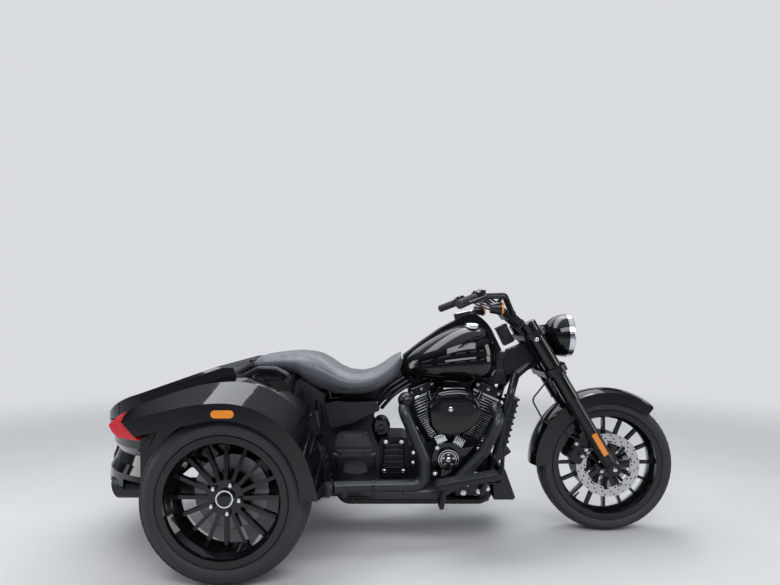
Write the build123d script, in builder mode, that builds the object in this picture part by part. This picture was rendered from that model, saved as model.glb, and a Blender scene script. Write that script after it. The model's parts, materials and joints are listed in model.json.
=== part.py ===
"""Three-wheeled cruiser motorcycle: one steered wheel in front, two wheels under rounded fenders behind.

Row frame: +X forward, +Y left, +Z up, origin on the floor under the middle of the bounding box.
All lengths are in millimetres. Side views are drawn with x measured ahead of the rear axle.
"""

import os
from math import cos, radians, sin, tan

from build123d import *

# Driving dimensions of the vehicle
WHEELBASE = 1670.0
TRACK = 1110.0
REAR_OVERHANG = 681.0
FRONT_TYRE_R = 319.5
REAR_TYRE_R = 325.0
HEAD_RAKE = 26.0
FORK_RAKE = 30.5
TRAIL = 100.0
FIT = 0.3

REAR_AXLE_X = -(WHEELBASE + FRONT_TYRE_R - REAR_OVERHANG) / 2


def at(x, y, z):
    """A point given by its distance ahead of the rear axle, its side offset and its height."""
    return Vector(REAR_AXLE_X + x, y, z)


def side(y=0.0):
    """Side view plane: local x is ahead of the rear axle, local y is height, extruding goes to the right."""
    return Plane(origin=at(0, y, 0), x_dir=(1, 0, 0), z_dir=(0, -1, 0))


def cross(x):
    """Cross-section plane: local x is to the left, local y is height, extruding goes forward."""
    return Plane(origin=at(x, 0, 0), x_dir=(0, 1, 0), z_dir=(1, 0, 0))


def level(z):
    """Plan view plane: local x is ahead of the rear axle, local y is to the left."""
    return Plane(origin=at(0, 0, z))


def tube(points, radius, bend):
    """A round tube along straight runs joined by arcs of one bend radius."""
    with BuildPart() as made:
        with BuildLine():
            path = FilletPolyline(*[at(*p) for p in points], radius=bend)
        with BuildSketch(Plane(origin=path @ 0, z_dir=path % 0)):
            Circle(radius)
        sweep(path=path)
    return made.part


def rod(start, end, radius):
    """A round bar between two points."""
    a, b = at(*start), at(*end)
    with BuildPart() as made:
        with BuildSketch(Plane(origin=a, z_dir=b - a)):
            Circle(radius)
        extrude(amount=(b - a).length)
    return made.part


def both_sides(part):
    """A part of the right side together with its mirror image on the left."""
    with BuildPart() as made:
        add(part)
        mirror(part, about=Plane.XZ)
    return made.part


def fore(back, y, z):
    """Side and height with a distance behind the front axle, as numbers for the tools above."""
    return (WHEELBASE - back, y, z)


os.makedirs("parts", exist_ok=True)


def keep(piece, name):
    """Labels a finished piece and writes it as its own node."""
    piece.part.label = name
    export_step(piece.part, f"parts/{name}.step")


# Wheels are drawn about their own axle: local Z points outboard and local X is a radius.
# Tyre columns: tread radius, bead radius, half section, half bead, half tread, shoulder drop, wall.
REAR_TYRE = (REAR_TYRE_R, 231.0, 107.5, 94.0, 90.0, 12.0, 12.0)
FRONT_TYRE = (FRONT_TYRE_R, 241.0, 65.0, 52.0, 50.0, 24.0, 10.0)
BEAD_GAP = 0.3
BEAD_TALL = 18.0

WHEEL_SPOKES = 16
REAR_HUB_R = 70.0
REAR_SPINDLE_R = 17.0
FRONT_AXLE_R = 12.5
PIN_GAP = 0.05
ROTOR_R = 150.0
ROTOR_THICK = 6.0


def tyre(tread_r, bead_r, half_section, half_bead, half_tread, drop, wall):
    """A hollow tyre: straight beads, a bulged sidewall in three runs and a crowned tread."""
    seat_r = bead_r + BEAD_TALL + BEAD_GAP
    tall = tread_r - drop - seat_r
    bulge = half_section - half_bead
    side_run = (
        (seat_r, half_bead),
        (seat_r + 0.24 * tall, half_bead + 0.86 * bulge),
        (seat_r + 0.62 * tall, half_section),
        (tread_r - drop, half_tread),
        (tread_r - 0.2 * drop, 0.55 * half_tread),
    )
    inner_run = (
        (tread_r - drop - wall, half_tread - 0.6 * wall),
        (seat_r + 0.62 * tall, half_section - wall),
        (seat_r, half_bead - wall),
    )
    with BuildPart() as made:
        with BuildSketch(Plane.XZ):
            with BuildLine():
                Polyline(
                    (bead_r, half_bead),
                    *side_run,
                    (tread_r, 0.2 * half_tread),
                    (tread_r, -0.2 * half_tread),
                    *[(r, -h) for r, h in reversed(side_run)],
                    (bead_r, -half_bead),
                    (bead_r, wall - half_bead),
                    *[(r, -h) for r, h in reversed(inner_run)],
                    *inner_run,
                    (bead_r, half_bead - wall),
                    close=True,
                )
            make_face()
        revolve(axis=Axis.Z)
    return made


def rim(tyre_bead_r, half_bead, well_r, flange, wall):
    """The wheel's barrel with its two flanges and the drop well between them."""
    flange_r = tyre_bead_r + BEAD_TALL
    bead_r = tyre_bead_r - BEAD_GAP
    half_in = half_bead + BEAD_GAP
    half_width = half_in + flange
    with BuildPart() as made:
        with BuildSketch(Plane.XZ):
            with BuildLine():
                Polyline(
                    (flange_r, half_width),
                    (flange_r, half_in),
                    (bead_r, half_in),
                    (bead_r, half_width - 32),
                    (well_r, half_width - 44),
                    (well_r, 44 - half_width),
                    (bead_r, 32 - half_width),
                    (bead_r, -half_in),
                    (flange_r, -half_in),
                    (flange_r, -half_width),
                    (bead_r - wall, -half_width),
                    (well_r - wall, 48 - half_width),
                    (well_r - wall, half_width - 48),
                    (bead_r - wall, half_width - 28),
                    (bead_r - wall, half_width),
                    close=True,
                )
            make_face()
        revolve(axis=Axis.Z)
    return made


def spoke(root_r, root, tip_r, tip, width):
    """One tapered spoke, from the hub out to the barrel."""
    with BuildPart() as made:
        with BuildSketch(Plane.XZ):
            with BuildLine():
                Polyline(
                    (root_r, root[0]),
                    (tip_r, tip[0]),
                    (tip_r, tip[1]),
                    (root_r, root[1]),
                    close=True,
                )
            make_face()
        extrude(amount=width / 2, both=True)
    return made


RIGHT_REAR = Plane(origin=at(0, -TRACK / 2, REAR_TYRE_R), x_dir=(1, 0, 0), z_dir=(0, -1, 0))
LEFT_REAR = Plane(origin=at(0, TRACK / 2, REAR_TYRE_R), x_dir=(1, 0, 0), z_dir=(0, 1, 0))
FRONT = Plane(origin=at(WHEELBASE, 0, FRONT_TYRE_R), x_dir=(1, 0, 0), z_dir=(0, -1, 0))

# Rear wheel: a deep dish with its hub set back from the rim's lip
REAR_HUB_IN = -25.0
REAR_HUB_OUT = 45.0
REAR_CAP_OUT = 58.0
rear_tyre = tyre(*REAR_TYRE)
rear_rim = rim(REAR_TYRE[1], REAR_TYRE[3], 216.0, 8.0, 8.0)
rear_spoke = spoke(REAR_HUB_R - 6, (8, 43), 212.0, (6, 32), 15.0)
with BuildPart() as rear_wheel:
    add(rear_rim.part)
    with BuildSketch(Plane.XY.offset(REAR_HUB_IN)):
        Circle(REAR_HUB_R)
    extrude(amount=REAR_HUB_OUT - REAR_HUB_IN)
    with BuildSketch(Plane.XY.offset(REAR_HUB_OUT)):
        Circle(37)
    extrude(amount=REAR_CAP_OUT - REAR_HUB_OUT)
    with PolarLocations(0, WHEEL_SPOKES):
        add(rear_spoke.part)
    with BuildSketch(Plane.XY.offset(REAR_HUB_IN)):
        Circle(REAR_SPINDLE_R + PIN_GAP)
    extrude(amount=60, mode=Mode.SUBTRACT)

ROTOR_IN = REAR_HUB_IN - 27
with BuildPart() as rear_disc:
    with BuildSketch(Plane.XZ):
        with BuildLine():
            Polyline(
                (30, REAR_HUB_IN),
                (95, REAR_HUB_IN),
                (95, ROTOR_IN + ROTOR_THICK),
                (ROTOR_R, ROTOR_IN + ROTOR_THICK),
                (ROTOR_R, ROTOR_IN),
                (88, ROTOR_IN),
                (88, REAR_HUB_IN - 7),
                (30, REAR_HUB_IN - 7),
                close=True,
            )
        make_face()
    revolve(axis=Axis.Z)

for hand, plane in (("right", RIGHT_REAR), ("left", LEFT_REAR)):
    for name, sources in (
        ("rear_tyre", (rear_tyre,)),
        ("rear_wheel", (rear_wheel, rear_disc)),
    ):
        with BuildPart() as placed:
            for source in sources:
                with Locations(plane):
                    add(source.part)
        keep(placed, f"{name}_{hand}")

# Front wheel: straight spokes in the rim's middle and a rotor on each side
FRONT_HUB_HALF = 56.0
front_tyre_shape = tyre(*FRONT_TYRE)
front_rim = rim(FRONT_TYRE[1], FRONT_TYRE[3], 226.0, 7.0, 7.0)
front_spoke = spoke(38, (-16, 16), 235.0, (-11, 11), 14.0)
with BuildPart() as front_wheel_shape:
    add(front_rim.part)
    with BuildSketch(Plane.XY.offset(-FRONT_HUB_HALF)):
        Circle(44)
    extrude(amount=2 * FRONT_HUB_HALF)
    with PolarLocations(0, WHEEL_SPOKES):
        add(front_spoke.part)
    with BuildSketch(Plane.XY.offset(-FRONT_HUB_HALF)):
        Circle(FRONT_AXLE_R + PIN_GAP)
    extrude(amount=2 * FRONT_HUB_HALF, mode=Mode.SUBTRACT)

FRONT_ROTOR_IN = 60.0
ROTOR_INNER_R = 104.0
with BuildPart() as front_disc:
    with BuildSketch(Plane.XY.offset(FRONT_ROTOR_IN)):
        Circle(ROTOR_R)
        Circle(ROTOR_INNER_R, mode=Mode.SUBTRACT)
    extrude(amount=ROTOR_THICK)

with BuildPart() as rotor_carrier:
    with BuildSketch(Plane.XY.offset(FRONT_HUB_HALF)):
        Circle(58)
        with PolarLocations(84, 5):
            Rectangle(58, 26)
        with PolarLocations(ROTOR_INNER_R + 1, 5):
            Circle(15)
        Circle(26, mode=Mode.SUBTRACT)
        with PolarLocations(41, 5):
            Circle(6, mode=Mode.SUBTRACT)
    extrude(amount=FRONT_ROTOR_IN - FRONT_HUB_HALF)

with BuildPart() as front_tyre:
    with Locations(FRONT):
        add(front_tyre_shape.part)
keep(front_tyre, "front_tyre")
with BuildPart() as front_wheel:
    with Locations(FRONT):
        add(front_wheel_shape.part)
        add(rotor_carrier.part)
        add(mirror(rotor_carrier.part, about=Plane.XY, mode=Mode.PRIVATE))
keep(front_wheel, "front_wheel")
with BuildPart() as front_discs:
    with Locations(FRONT):
        add(front_disc.part)
    mirror(about=Plane.XZ)
keep(front_discs, "front_discs")

# Steering head and front fork
STEER_FOOT_X = WHEELBASE + TRAIL
STEER_DIR = Vector(-sin(radians(HEAD_RAKE)), 0, cos(radians(HEAD_RAKE)))
FORK_DIR = Vector(-sin(radians(FORK_RAKE)), 0, cos(radians(FORK_RAKE)))
FORK_HALF = 118.0
SLIDER_R = 31.0
SLEEVE_R = 36.0
COVER_R = 40.0
SLIDER_TOP = 373.0
SLEEVE_TOP = 496.0
COVER_TOP = 788.0
LOWER_TREE = 842.0
LOWER_TREE_THICK = 32.0
UPPER_TREE = 1040.0
UPPER_TREE_THICK = 26.0
NECK_R = 32.0


def steer_plane(distance):
    """Plane square to the steering axis, a distance up that axis from the floor."""
    foot = at(STEER_FOOT_X, 0, 0)
    return Plane(
        origin=foot + STEER_DIR * distance, x_dir=(0, 1, 0), z_dir=STEER_DIR
    )


def fork_plane(distance, y=0.0):
    """Plane square to the fork legs, a distance up the leg from the front axle."""
    foot = at(WHEELBASE, y, FRONT_TYRE_R)
    return Plane(origin=foot + FORK_DIR * distance, x_dir=(0, 1, 0), z_dir=FORK_DIR)


def fork_cylinder(start, end, radius, y=-FORK_HALF):
    """A round piece of the right fork leg between two distances from the axle."""
    with BuildPart() as made:
        with BuildSketch(fork_plane(start, y)):
            Circle(radius)
        extrude(amount=end - start)
    return made.part


with BuildPart() as fork_sliders:
    add(both_sides(fork_cylinder(-10, SLIDER_TOP, SLIDER_R)))
    add(both_sides(rod(fore(0, -FORK_HALF + 33, FRONT_TYRE_R), fore(0, -FORK_HALF - 36, FRONT_TYRE_R), 29)))
    with BuildSketch(side(150)):
        with Locations((WHEELBASE, FRONT_TYRE_R)):
            Circle(FRONT_AXLE_R)
    extrude(amount=300)
keep(fork_sliders, "fork_sliders")

with BuildPart() as fork_cover:
    add(fork_cylinder(SLEEVE_TOP, COVER_TOP, COVER_R))
    chamfer(fork_cover.edges().filter_by(GeomType.CIRCLE), 6)
    add(fork_cylinder(SLIDER_TOP, SLEEVE_TOP, SLEEVE_R))
with BuildPart() as fork_covers:
    add(both_sides(fork_cover.part))
keep(fork_covers, "fork_covers")


def tree(start, thick, shift):
    """A fork yoke plate with a clearance hole for each leg."""
    with BuildPart() as made:
        with BuildSketch(steer_plane(start)):
            with Locations((0, shift)):
                RectangleRounded(2 * FORK_HALF + 104, 108, 46)
        extrude(amount=thick)
        add(both_sides(fork_cylinder(300, 800, COVER_R + FIT)), mode=Mode.SUBTRACT)
    return made.part


UPPER_SHIFT = 2.0
LOWER_SHIFT = -10.0
LAMP_Z = 934.0
LAMP_R = 103.0
with BuildPart() as triple_trees:
    add(tree(LOWER_TREE, LOWER_TREE_THICK, LOWER_SHIFT))
    add(tree(UPPER_TREE, UPPER_TREE_THICK, UPPER_SHIFT))

# Handlebar: risers lean back from the upper yoke, the bar pulls back to the grips
BAR_R = 14.0
GRIP_R = 18.5
RISER_FOOT = fore(370, 60, 951)
RISER_HEAD = fore(466, 60, 1036)
GRIP_IN = fore(658, -330, 1112)
GRIP_OUT = fore(739, -430, 1079)
BAR_POINTS = [
    (RISER_HEAD[0], 0, RISER_HEAD[2]),
    (RISER_HEAD[0], -120, RISER_HEAD[2]),
    fore(530, -262, 1118),
    GRIP_IN,
    GRIP_OUT,
]
with BuildPart() as handlebar:
    half = tube(BAR_POINTS, BAR_R, 45)
    add(half)
    mirror(half, about=Plane.XZ)
    for y in (-RISER_FOOT[1], RISER_FOOT[1]):
        riser = rod((RISER_FOOT[0], y, RISER_FOOT[2]), (RISER_HEAD[0], y, RISER_HEAD[2]), 20)
        add(riser)
        with Locations(at(RISER_HEAD[0], y, RISER_HEAD[2])):
            Cylinder(26, 40, rotation=(90, 0, 0))
    with BuildSketch(side(56)):
        Polygon(
            *[(WHEELBASE - back, z) for back, z in ((472, 1056), (452, 1030), (484, 1012), (504, 1038))],
            align=None,
        )
    extrude(amount=112)
    add(triple_trees.part)
    add(fork_covers.part, mode=Mode.SUBTRACT)
keep(handlebar, "handlebar_and_trees")


# Grips, levers and switch housings sit on the bar's ends
GRIP_DIR = (Vector(*GRIP_OUT) - Vector(*GRIP_IN)).normalized()


def on_grip(distance):
    """A point along the right grip's axis, measured from its inner end."""
    return tuple(Vector(*GRIP_IN) + GRIP_DIR * distance)


with BuildPart() as grips:
    grip = rod(on_grip(22), on_grip(150), GRIP_R)
    add(both_sides(grip))
    add(handlebar.part, mode=Mode.SUBTRACT)
keep(grips, "grips")

MIRROR_TOP = 1138.0
MIRROR_HOLE_R = 5.0
MIRROR_BACK = 638.0
with BuildPart() as control:
    add(rod(on_grip(-26), on_grip(21), 25))
    add(rod(fore(658, -334, 1114), fore(624, -357, 1110), 12))
    add(rod(fore(MIRROR_BACK, -348, 1104), fore(MIRROR_BACK, -348, MIRROR_TOP), 11))
    add(rod(fore(624, -357, 1110), fore(715, -470, 1078), 7))
    add(
        rod(fore(MIRROR_BACK, -348, MIRROR_TOP - 20), fore(MIRROR_BACK, -348, MIRROR_TOP + 2), MIRROR_HOLE_R),
        mode=Mode.SUBTRACT,
    )
    add(handlebar.part, mode=Mode.SUBTRACT)
with BuildPart() as controls:
    add(both_sides(control.part))
keep(controls, "switches_and_levers")

# Front turn signals hang under the bar on short stalks
SIGNAL_R = 31.0
SIGNAL_LONG = 48.0
SIGNAL = fore(592, -250, 1062)
with BuildPart() as signal:
    with BuildSketch(cross(SIGNAL[0])):
        with Locations((SIGNAL[1], SIGNAL[2])):
            Circle(SIGNAL_R * 0.7)
    with BuildSketch(cross(SIGNAL[0] + SIGNAL_LONG)):
        with Locations((SIGNAL[1], SIGNAL[2])):
            Circle(SIGNAL_R)
    loft()
    add(rod(fore(570, -250, 1075), fore(538, -250, 1112), 8))
    add(tube(BAR_POINTS, BAR_R + FIT, 45), mode=Mode.SUBTRACT)
with BuildPart() as front_signals:
    add(both_sides(signal.part))
keep(front_signals, "front_signals")
with BuildPart() as signal_lens:
    with BuildSketch(cross(SIGNAL[0] + SIGNAL_LONG + FIT)):
        with Locations((SIGNAL[1], SIGNAL[2])):
            Circle(SIGNAL_R - 2)
    extrude(amount=11)
    fillet(signal_lens.faces().sort_by(Axis.X)[-1].edges(), 8)
with BuildPart() as signal_lenses:
    add(both_sides(signal_lens.part))
keep(signal_lenses, "signal_lenses")

# Headlamp: a domed bucket on a bracket, a bright ring and a clear lens
LAMP_BACK = WHEELBASE - 290.0
LAMP_FRONT = WHEELBASE - 190.0
LAMP_RING = 28.0
LAMP_AXIS = Axis(at(0, 0, LAMP_Z), (1, 0, 0))
with BuildPart() as headlamp:
    with BuildSketch(side()):
        with BuildLine():
            Line((LAMP_BACK, LAMP_Z), (LAMP_BACK, LAMP_Z + 24))
            ThreePointArc(
                (LAMP_BACK, LAMP_Z + 24), (LAMP_BACK + 34, LAMP_Z + 80), (LAMP_FRONT, LAMP_Z + LAMP_R)
            )
            Line((LAMP_FRONT, LAMP_Z + LAMP_R), (LAMP_FRONT, LAMP_Z + 92))
            Line((LAMP_FRONT, LAMP_Z + 92), (LAMP_BACK + 48, LAMP_Z + 60))
            Line((LAMP_BACK + 48, LAMP_Z + 60), (LAMP_BACK + 33, LAMP_Z))
            Line((LAMP_BACK + 33, LAMP_Z), (LAMP_BACK, LAMP_Z))
        make_face()
    revolve(axis=LAMP_AXIS)
    with BuildSketch(side(28)):
        Polygon(
            *[
                (WHEELBASE - back, z)
                for back, z in ((312, 962), (306, 984), (272, 990), (268, 900), (284, 888))
            ],
            align=None,
        )
    extrude(amount=56)
    add(tree(UPPER_TREE - FIT, UPPER_TREE_THICK + 2 * FIT, UPPER_SHIFT), mode=Mode.SUBTRACT)
    add(both_sides(fork_cylinder(300, 800, COVER_R + FIT)), mode=Mode.SUBTRACT)
keep(headlamp, "headlamp_bucket")
with BuildPart() as headlamp_ring:
    with BuildSketch(side()):
        with Locations((LAMP_FRONT + FIT + LAMP_RING / 2, LAMP_Z + 96)):
            Rectangle(LAMP_RING, 16)
    revolve(axis=LAMP_AXIS)
    fillet(headlamp_ring.faces().sort_by(Axis.X)[-1].edges(), 6)
keep(headlamp_ring, "headlamp_ring")
with BuildPart() as headlamp_lens:
    with BuildSketch(cross(LAMP_FRONT + 8)):
        with Locations((0, LAMP_Z)):
            Circle(88 - FIT)
    extrude(amount=24)
    fillet(headlamp_lens.faces().sort_by(Axis.X)[-1].edges(), 15)
keep(headlamp_lens, "headlamp_lens")

# Front fender: a thin arched shell round the tyre with a stay to each fork leg
GUARD_R = 362.0
GUARD_HALF = 79.0
GUARD_WALL = 4.0
GUARD_SKIRT_R = 296.0
with BuildPart() as front_fender:
    with BuildSketch(Plane(origin=at(WHEELBASE, 0, FRONT_TYRE_R), x_dir=(-1, 0, 0), z_dir=(0, 0, 1))):
        with BuildLine():
            for inset in (0.0, GUARD_WALL):
                y = GUARD_HALF - inset
                r = GUARD_R - inset
                Line((GUARD_SKIRT_R, y), (346, y))
                ThreePointArc((346, y), (r, 0), (346, -y))
                Line((346, -y), (GUARD_SKIRT_R, -y))
            for s in (1, -1):
                Line((GUARD_SKIRT_R, s * GUARD_HALF), (GUARD_SKIRT_R, s * (GUARD_HALF - GUARD_WALL)))
        make_face()
    revolve(axis=Axis(at(WHEELBASE, 0, FRONT_TYRE_R), (0, 1, 0)), revolution_arc=128)
    boss_x = WHEELBASE - 327 * sin(radians(FORK_RAKE))
    boss_z = FRONT_TYRE_R + 327 * cos(radians(FORK_RAKE))
    add(both_sides(rod((boss_x, GUARD_WALL / 2 - GUARD_HALF, boss_z), (boss_x, -100, boss_z), 9)))
    add(fork_sliders.part, mode=Mode.SUBTRACT)
    add(fork_covers.part, mode=Mode.SUBTRACT)
keep(front_fender, "front_fender")

CALIPER = (WHEELBASE - 139.0, 388.0)
with BuildPart() as front_caliper:
    with BuildSketch(side(-43)):
        with Locations(Location((CALIPER[0], CALIPER[1], 0), (0, 0, 62))):
            RectangleRounded(118, 62, 16)
    extrude(amount=42)
    with BuildSketch(side(-54)):
        with Locations((WHEELBASE, FRONT_TYRE_R)):
            Circle(ROTOR_R + 6)
    extrude(amount=18, mode=Mode.SUBTRACT)
    add(rod(fore(125, -80, 398), fore(62, -106, 405), 10))
    add(fork_sliders.part, mode=Mode.SUBTRACT)
with BuildPart() as front_calipers:
    add(both_sides(front_caliper.part))
keep(front_calipers, "front_calipers")

# Brake hose: held from the lower yoke down to the right caliper
HOSE_R = 4.0
HOSE = [
    fore(274, -62, 765),
    fore(306, -78, 705),
    fore(368, -92, 635),
    fore(318, -98, 540),
    fore(230, -98, 478),
    fore(165, -82, 452),
    fore(138, -64, 420),
]
with BuildPart() as brake_hose:
    add(tube(HOSE, HOSE_R, 30))
    add(triple_trees.part, mode=Mode.SUBTRACT)
    add(front_calipers.part, mode=Mode.SUBTRACT)
keep(brake_hose, "front_brake_hose")

# Frame: steering neck, spine, down tubes and cradle rails
TUBE_R = 19.0
SIDE_COVER_IN = 172.0
BODY_FRONT_X = 230.0
BOARD_Y = 309.0
BOARD_PIN_Z = 424.0
BOARD_MID_X = 479.0
KNUCKLE_R = 10.0
BOARD_BAR_Z = 330.0
CHEEK_X = 84.0
CHEEK_THICK = 6.0
RAIL_Y = 140.0
RAIL_Z = 178.0
NECK_GAP = 0.5
NECK_PLATE_HALF = 38.0
NECK_PLATE = ((352, 914), (300, 808), (398, 756), (480, 748), (492, 800), (468, 866))
NECK = [
    steer_plane(d).origin
    for d in (LOWER_TREE + LOWER_TREE_THICK + NECK_GAP, UPPER_TREE - NECK_GAP)
]
NOSE_RAIL = fore(592, -RAIL_Y, RAIL_Z)
RAIL = [
    fore(318, -22, 838),
    fore(436, -52, 746),
    fore(472, -122, 676),
    fore(560, -RAIL_Y, 330),
    NOSE_RAIL,
    (420, -RAIL_Y, RAIL_Z),
    (330, -RAIL_Y, 330),
    (300, -RAIL_Y, 640),
]
cheeks = []
for x in (BOARD_MID_X - CHEEK_X - CHEEK_THICK, BOARD_MID_X + CHEEK_X):
    with BuildPart() as cheek:
        with BuildSketch(cross(x)):
            with Locations((-BOARD_Y, BOARD_PIN_Z)):
                Circle(KNUCKLE_R + 2)
            Polygon(
                (-BOARD_Y - 4, BOARD_PIN_Z - 9),
                (-RAIL_Y, BOARD_BAR_Z - 8),
                (-RAIL_Y, BOARD_BAR_Z + 8),
                (-BOARD_Y + 4, BOARD_PIN_Z + 9),
                align=None,
            )
        extrude(amount=CHEEK_THICK)
    cheeks.append(both_sides(cheek.part))


def cooler_slice(z_from, z_to, near, far):
    """A side view outline of the oil cooler that follows the slant of the down tubes."""
    (x_low, _, z_low), (x_high, _, z_high) = RAIL[3], RAIL[2]
    slope = (x_high - x_low) / (z_high - z_low)
    foot, head = x_low + slope * (z_from - z_low), x_low + slope * (z_to - z_low)
    return ((foot + near, z_from), (head + near, z_to), (head + far, z_to), (foot + far, z_from))


COOLER_Z = (402.0, 638.0)
COOLER_FINS = 9
COOLER_HALF = 100.0
COOLER_NEAR = 20.0
COOLER_FAR = 56.0
with BuildPart() as oil_cooler:
    with BuildSketch(side(COOLER_HALF - 8)):
        Polygon(*cooler_slice(*COOLER_Z, COOLER_NEAR + 5, COOLER_FAR - 6), align=None)
    extrude(amount=2 * COOLER_HALF - 16)
    for row in range(COOLER_FINS):
        z = COOLER_Z[0] + row * (COOLER_Z[1] - COOLER_Z[0] - 10) / (COOLER_FINS - 1)
        with BuildSketch(side(COOLER_HALF)):
            Polygon(*cooler_slice(z, z + 10, COOLER_NEAR, COOLER_FAR), align=None)
        extrude(amount=2 * COOLER_HALF)
    for z in (430, 610):
        x = cooler_slice(z, z + 10, 0, COOLER_NEAR + 18)
        add(both_sides(rod((x[0][0], -132, z), (x[3][0], -84, z), 8)))

SPLASH_HALF = 252.0
SPLASH_WALL = 6.0
SPLASH_OUT = ((575, 299), (548, 357), (525, 345), (481, 223), (490, 212), (575, 212))
SPLASH_IN = ((610, 218), (492, 218), (488, 225), (530, 340), (546, 349), (610, 349))
with BuildPart() as splash_plate:
    for outline, half, mode in (
        (SPLASH_OUT, SPLASH_HALF, Mode.ADD),
        (SPLASH_IN, SPLASH_HALF - SPLASH_WALL, Mode.SUBTRACT),
    ):
        with BuildSketch(side(half)):
            Polygon(*[(WHEELBASE - back, z) for back, z in outline], align=None)
        extrude(amount=2 * half, mode=mode)

with BuildPart() as frame_cradle:
    add(oil_cooler.part)
    add(splash_plate.part)
    with BuildSketch(Plane(origin=NECK[0], z_dir=STEER_DIR)):
        Circle(NECK_R)
    extrude(amount=(NECK[1] - NECK[0]).length)
    add(both_sides(tube(RAIL, TUBE_R, 50)))
    add(tube([fore(335, 0, 880), fore(480, 0, 825), (760, 0, 785), (600, 0, 640), (330, 0, 600)], 26, 90))
    for pair in cheeks:
        add(pair)
    add(both_sides(rod((330, -RAIL_Y, BOARD_BAR_Z), (572, -RAIL_Y, BOARD_BAR_Z), 11)))
    for x, z in ((NOSE_RAIL[0], RAIL_Z + 7), (700, RAIL_Z), (330, 600)):
        add(rod((x, -RAIL_Y, z), (x, RAIL_Y, z), 15))
    add(rod((450, FIT - SIDE_COVER_IN, 604), (450, SIDE_COVER_IN - FIT, 604), 11))
    for y in (-RAIL_Y, RAIL_Y):
        add(rod((312, y, 560), (BODY_FRONT_X + FIT, y, 560), 16))
    with BuildSketch(side(NECK_PLATE_HALF)):
        Polygon(
            *[(WHEELBASE - back, z) for back, z in NECK_PLATE],
            align=None,
        )
    extrude(amount=2 * NECK_PLATE_HALF)
keep(frame_cradle, "frame_cradle")

# Rear axle: housing tube, final drive case, spindles and trailing arms
AXLE_HALF = 480.0
AXLE_TUBE_R = 36.0
ARM_WIDE = 40.0
with BuildPart() as rear_axle:
    add(rod((0, -AXLE_HALF, REAR_TYRE_R), (0, AXLE_HALF, REAR_TYRE_R), AXLE_TUBE_R))
    add(rod((0, -590, REAR_TYRE_R), (0, 590, REAR_TYRE_R), REAR_SPINDLE_R))
    add(rod((0, 40, REAR_TYRE_R), (0, 150, REAR_TYRE_R), 68))
    for y in (-200, 200):
        with BuildSketch(side(y * 0.95 + ARM_WIDE / 2)):
            Polygon(
                (-38, 356),
                (44, 368),
                (330, 300),
                (392, 300),
                (392, 228),
                (330, 228),
                (-38, 296),
                align=None,
            )
        extrude(amount=ARM_WIDE)
    for y in (-1, 1):
        with BuildSketch(side(y * 494 + 18)):
            with Locations((118, REAR_TYRE_R + 70)):
                RectangleRounded(60, 110, 14)
        extrude(amount=36)
    for y in (-1, 1):
        with BuildSketch(side(y * 506 + 8)):
            with Locations((0, REAR_TYRE_R)):
                Circle(ROTOR_R + 6)
                Circle(37, mode=Mode.SUBTRACT)
        extrude(amount=16, mode=Mode.SUBTRACT)
    for y in (-470, 470):
        add(rod((10, y, REAR_TYRE_R + 10), (118, y, REAR_TYRE_R + 66), 14))
    add(both_sides(rod((340, -170, 266), (340, -230, 300), 14)))
    add(both_sides(rod((340, -226, 300), (290, -226, 600), 25)))
    add(rod((370, -212, 264), (370, 212, 264), 24))
    add(frame_cradle.part, mode=Mode.SUBTRACT)
keep(rear_axle, "rear_axle_and_shocks")

# Engine: crankcase, two finned cylinders in a V, rocker boxes, covers and air cleaner
CRANK = (938.0, 330.0)
CASE_HALF = 118.0
REAR_LEAN = 23.5
FRONT_LEAN = -24.5
DECK = 148.0
FIN_COUNT = 12
FIN_PITCH = 11.0
FIN_THICK = 4.0
FIN_HALF = 79.0
FIN_OUTER = 84.0
FIN_GROWTH = 1.6
FIN_GAP = 5.0
BARREL_R = 56.0
HEAD_START = DECK + FIN_COUNT * FIN_PITCH
HEAD_FINS = 5
HEAD_PITCH = 13.0
ROCKER_START = HEAD_START + 70.0
ROCKER_TALL = 60.0


def cylinder_plane(lean, distance):
    """Plane square to a cylinder, a distance out from the crank centre."""
    out = Vector(-sin(radians(lean)), 0, cos(radians(lean)))
    return Plane(
        origin=at(CRANK[0], 0, CRANK[1]) + out * distance, x_dir=(0, 1, 0), z_dir=out
    )


def deck_point(lean, offset):
    """A point of a cylinder's deck in side view, an offset ahead of that cylinder's axis."""
    x = CRANK[0] - DECK * sin(radians(lean)) + offset * cos(radians(lean))
    z = CRANK[1] + DECK * cos(radians(lean)) + offset * sin(radians(lean))
    return (x, z)


with BuildPart() as crankcase:
    with BuildSketch(side(CASE_HALF)):
        with BuildLine():
            Polyline(
                (1085, 300),
                (1090, 380),
                deck_point(FRONT_LEAN, 80),
                deck_point(FRONT_LEAN, -52),
                (CRANK[0], CRANK[1] + 140),
                deck_point(REAR_LEAN, 52),
                deck_point(REAR_LEAN, -80),
                (770, 425),
                (700, 425),
                (700, 250),
                (800, 178),
                (1020, 178),
                close=True,
            )
        make_face()
    extrude(amount=2 * CASE_HALF)


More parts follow.
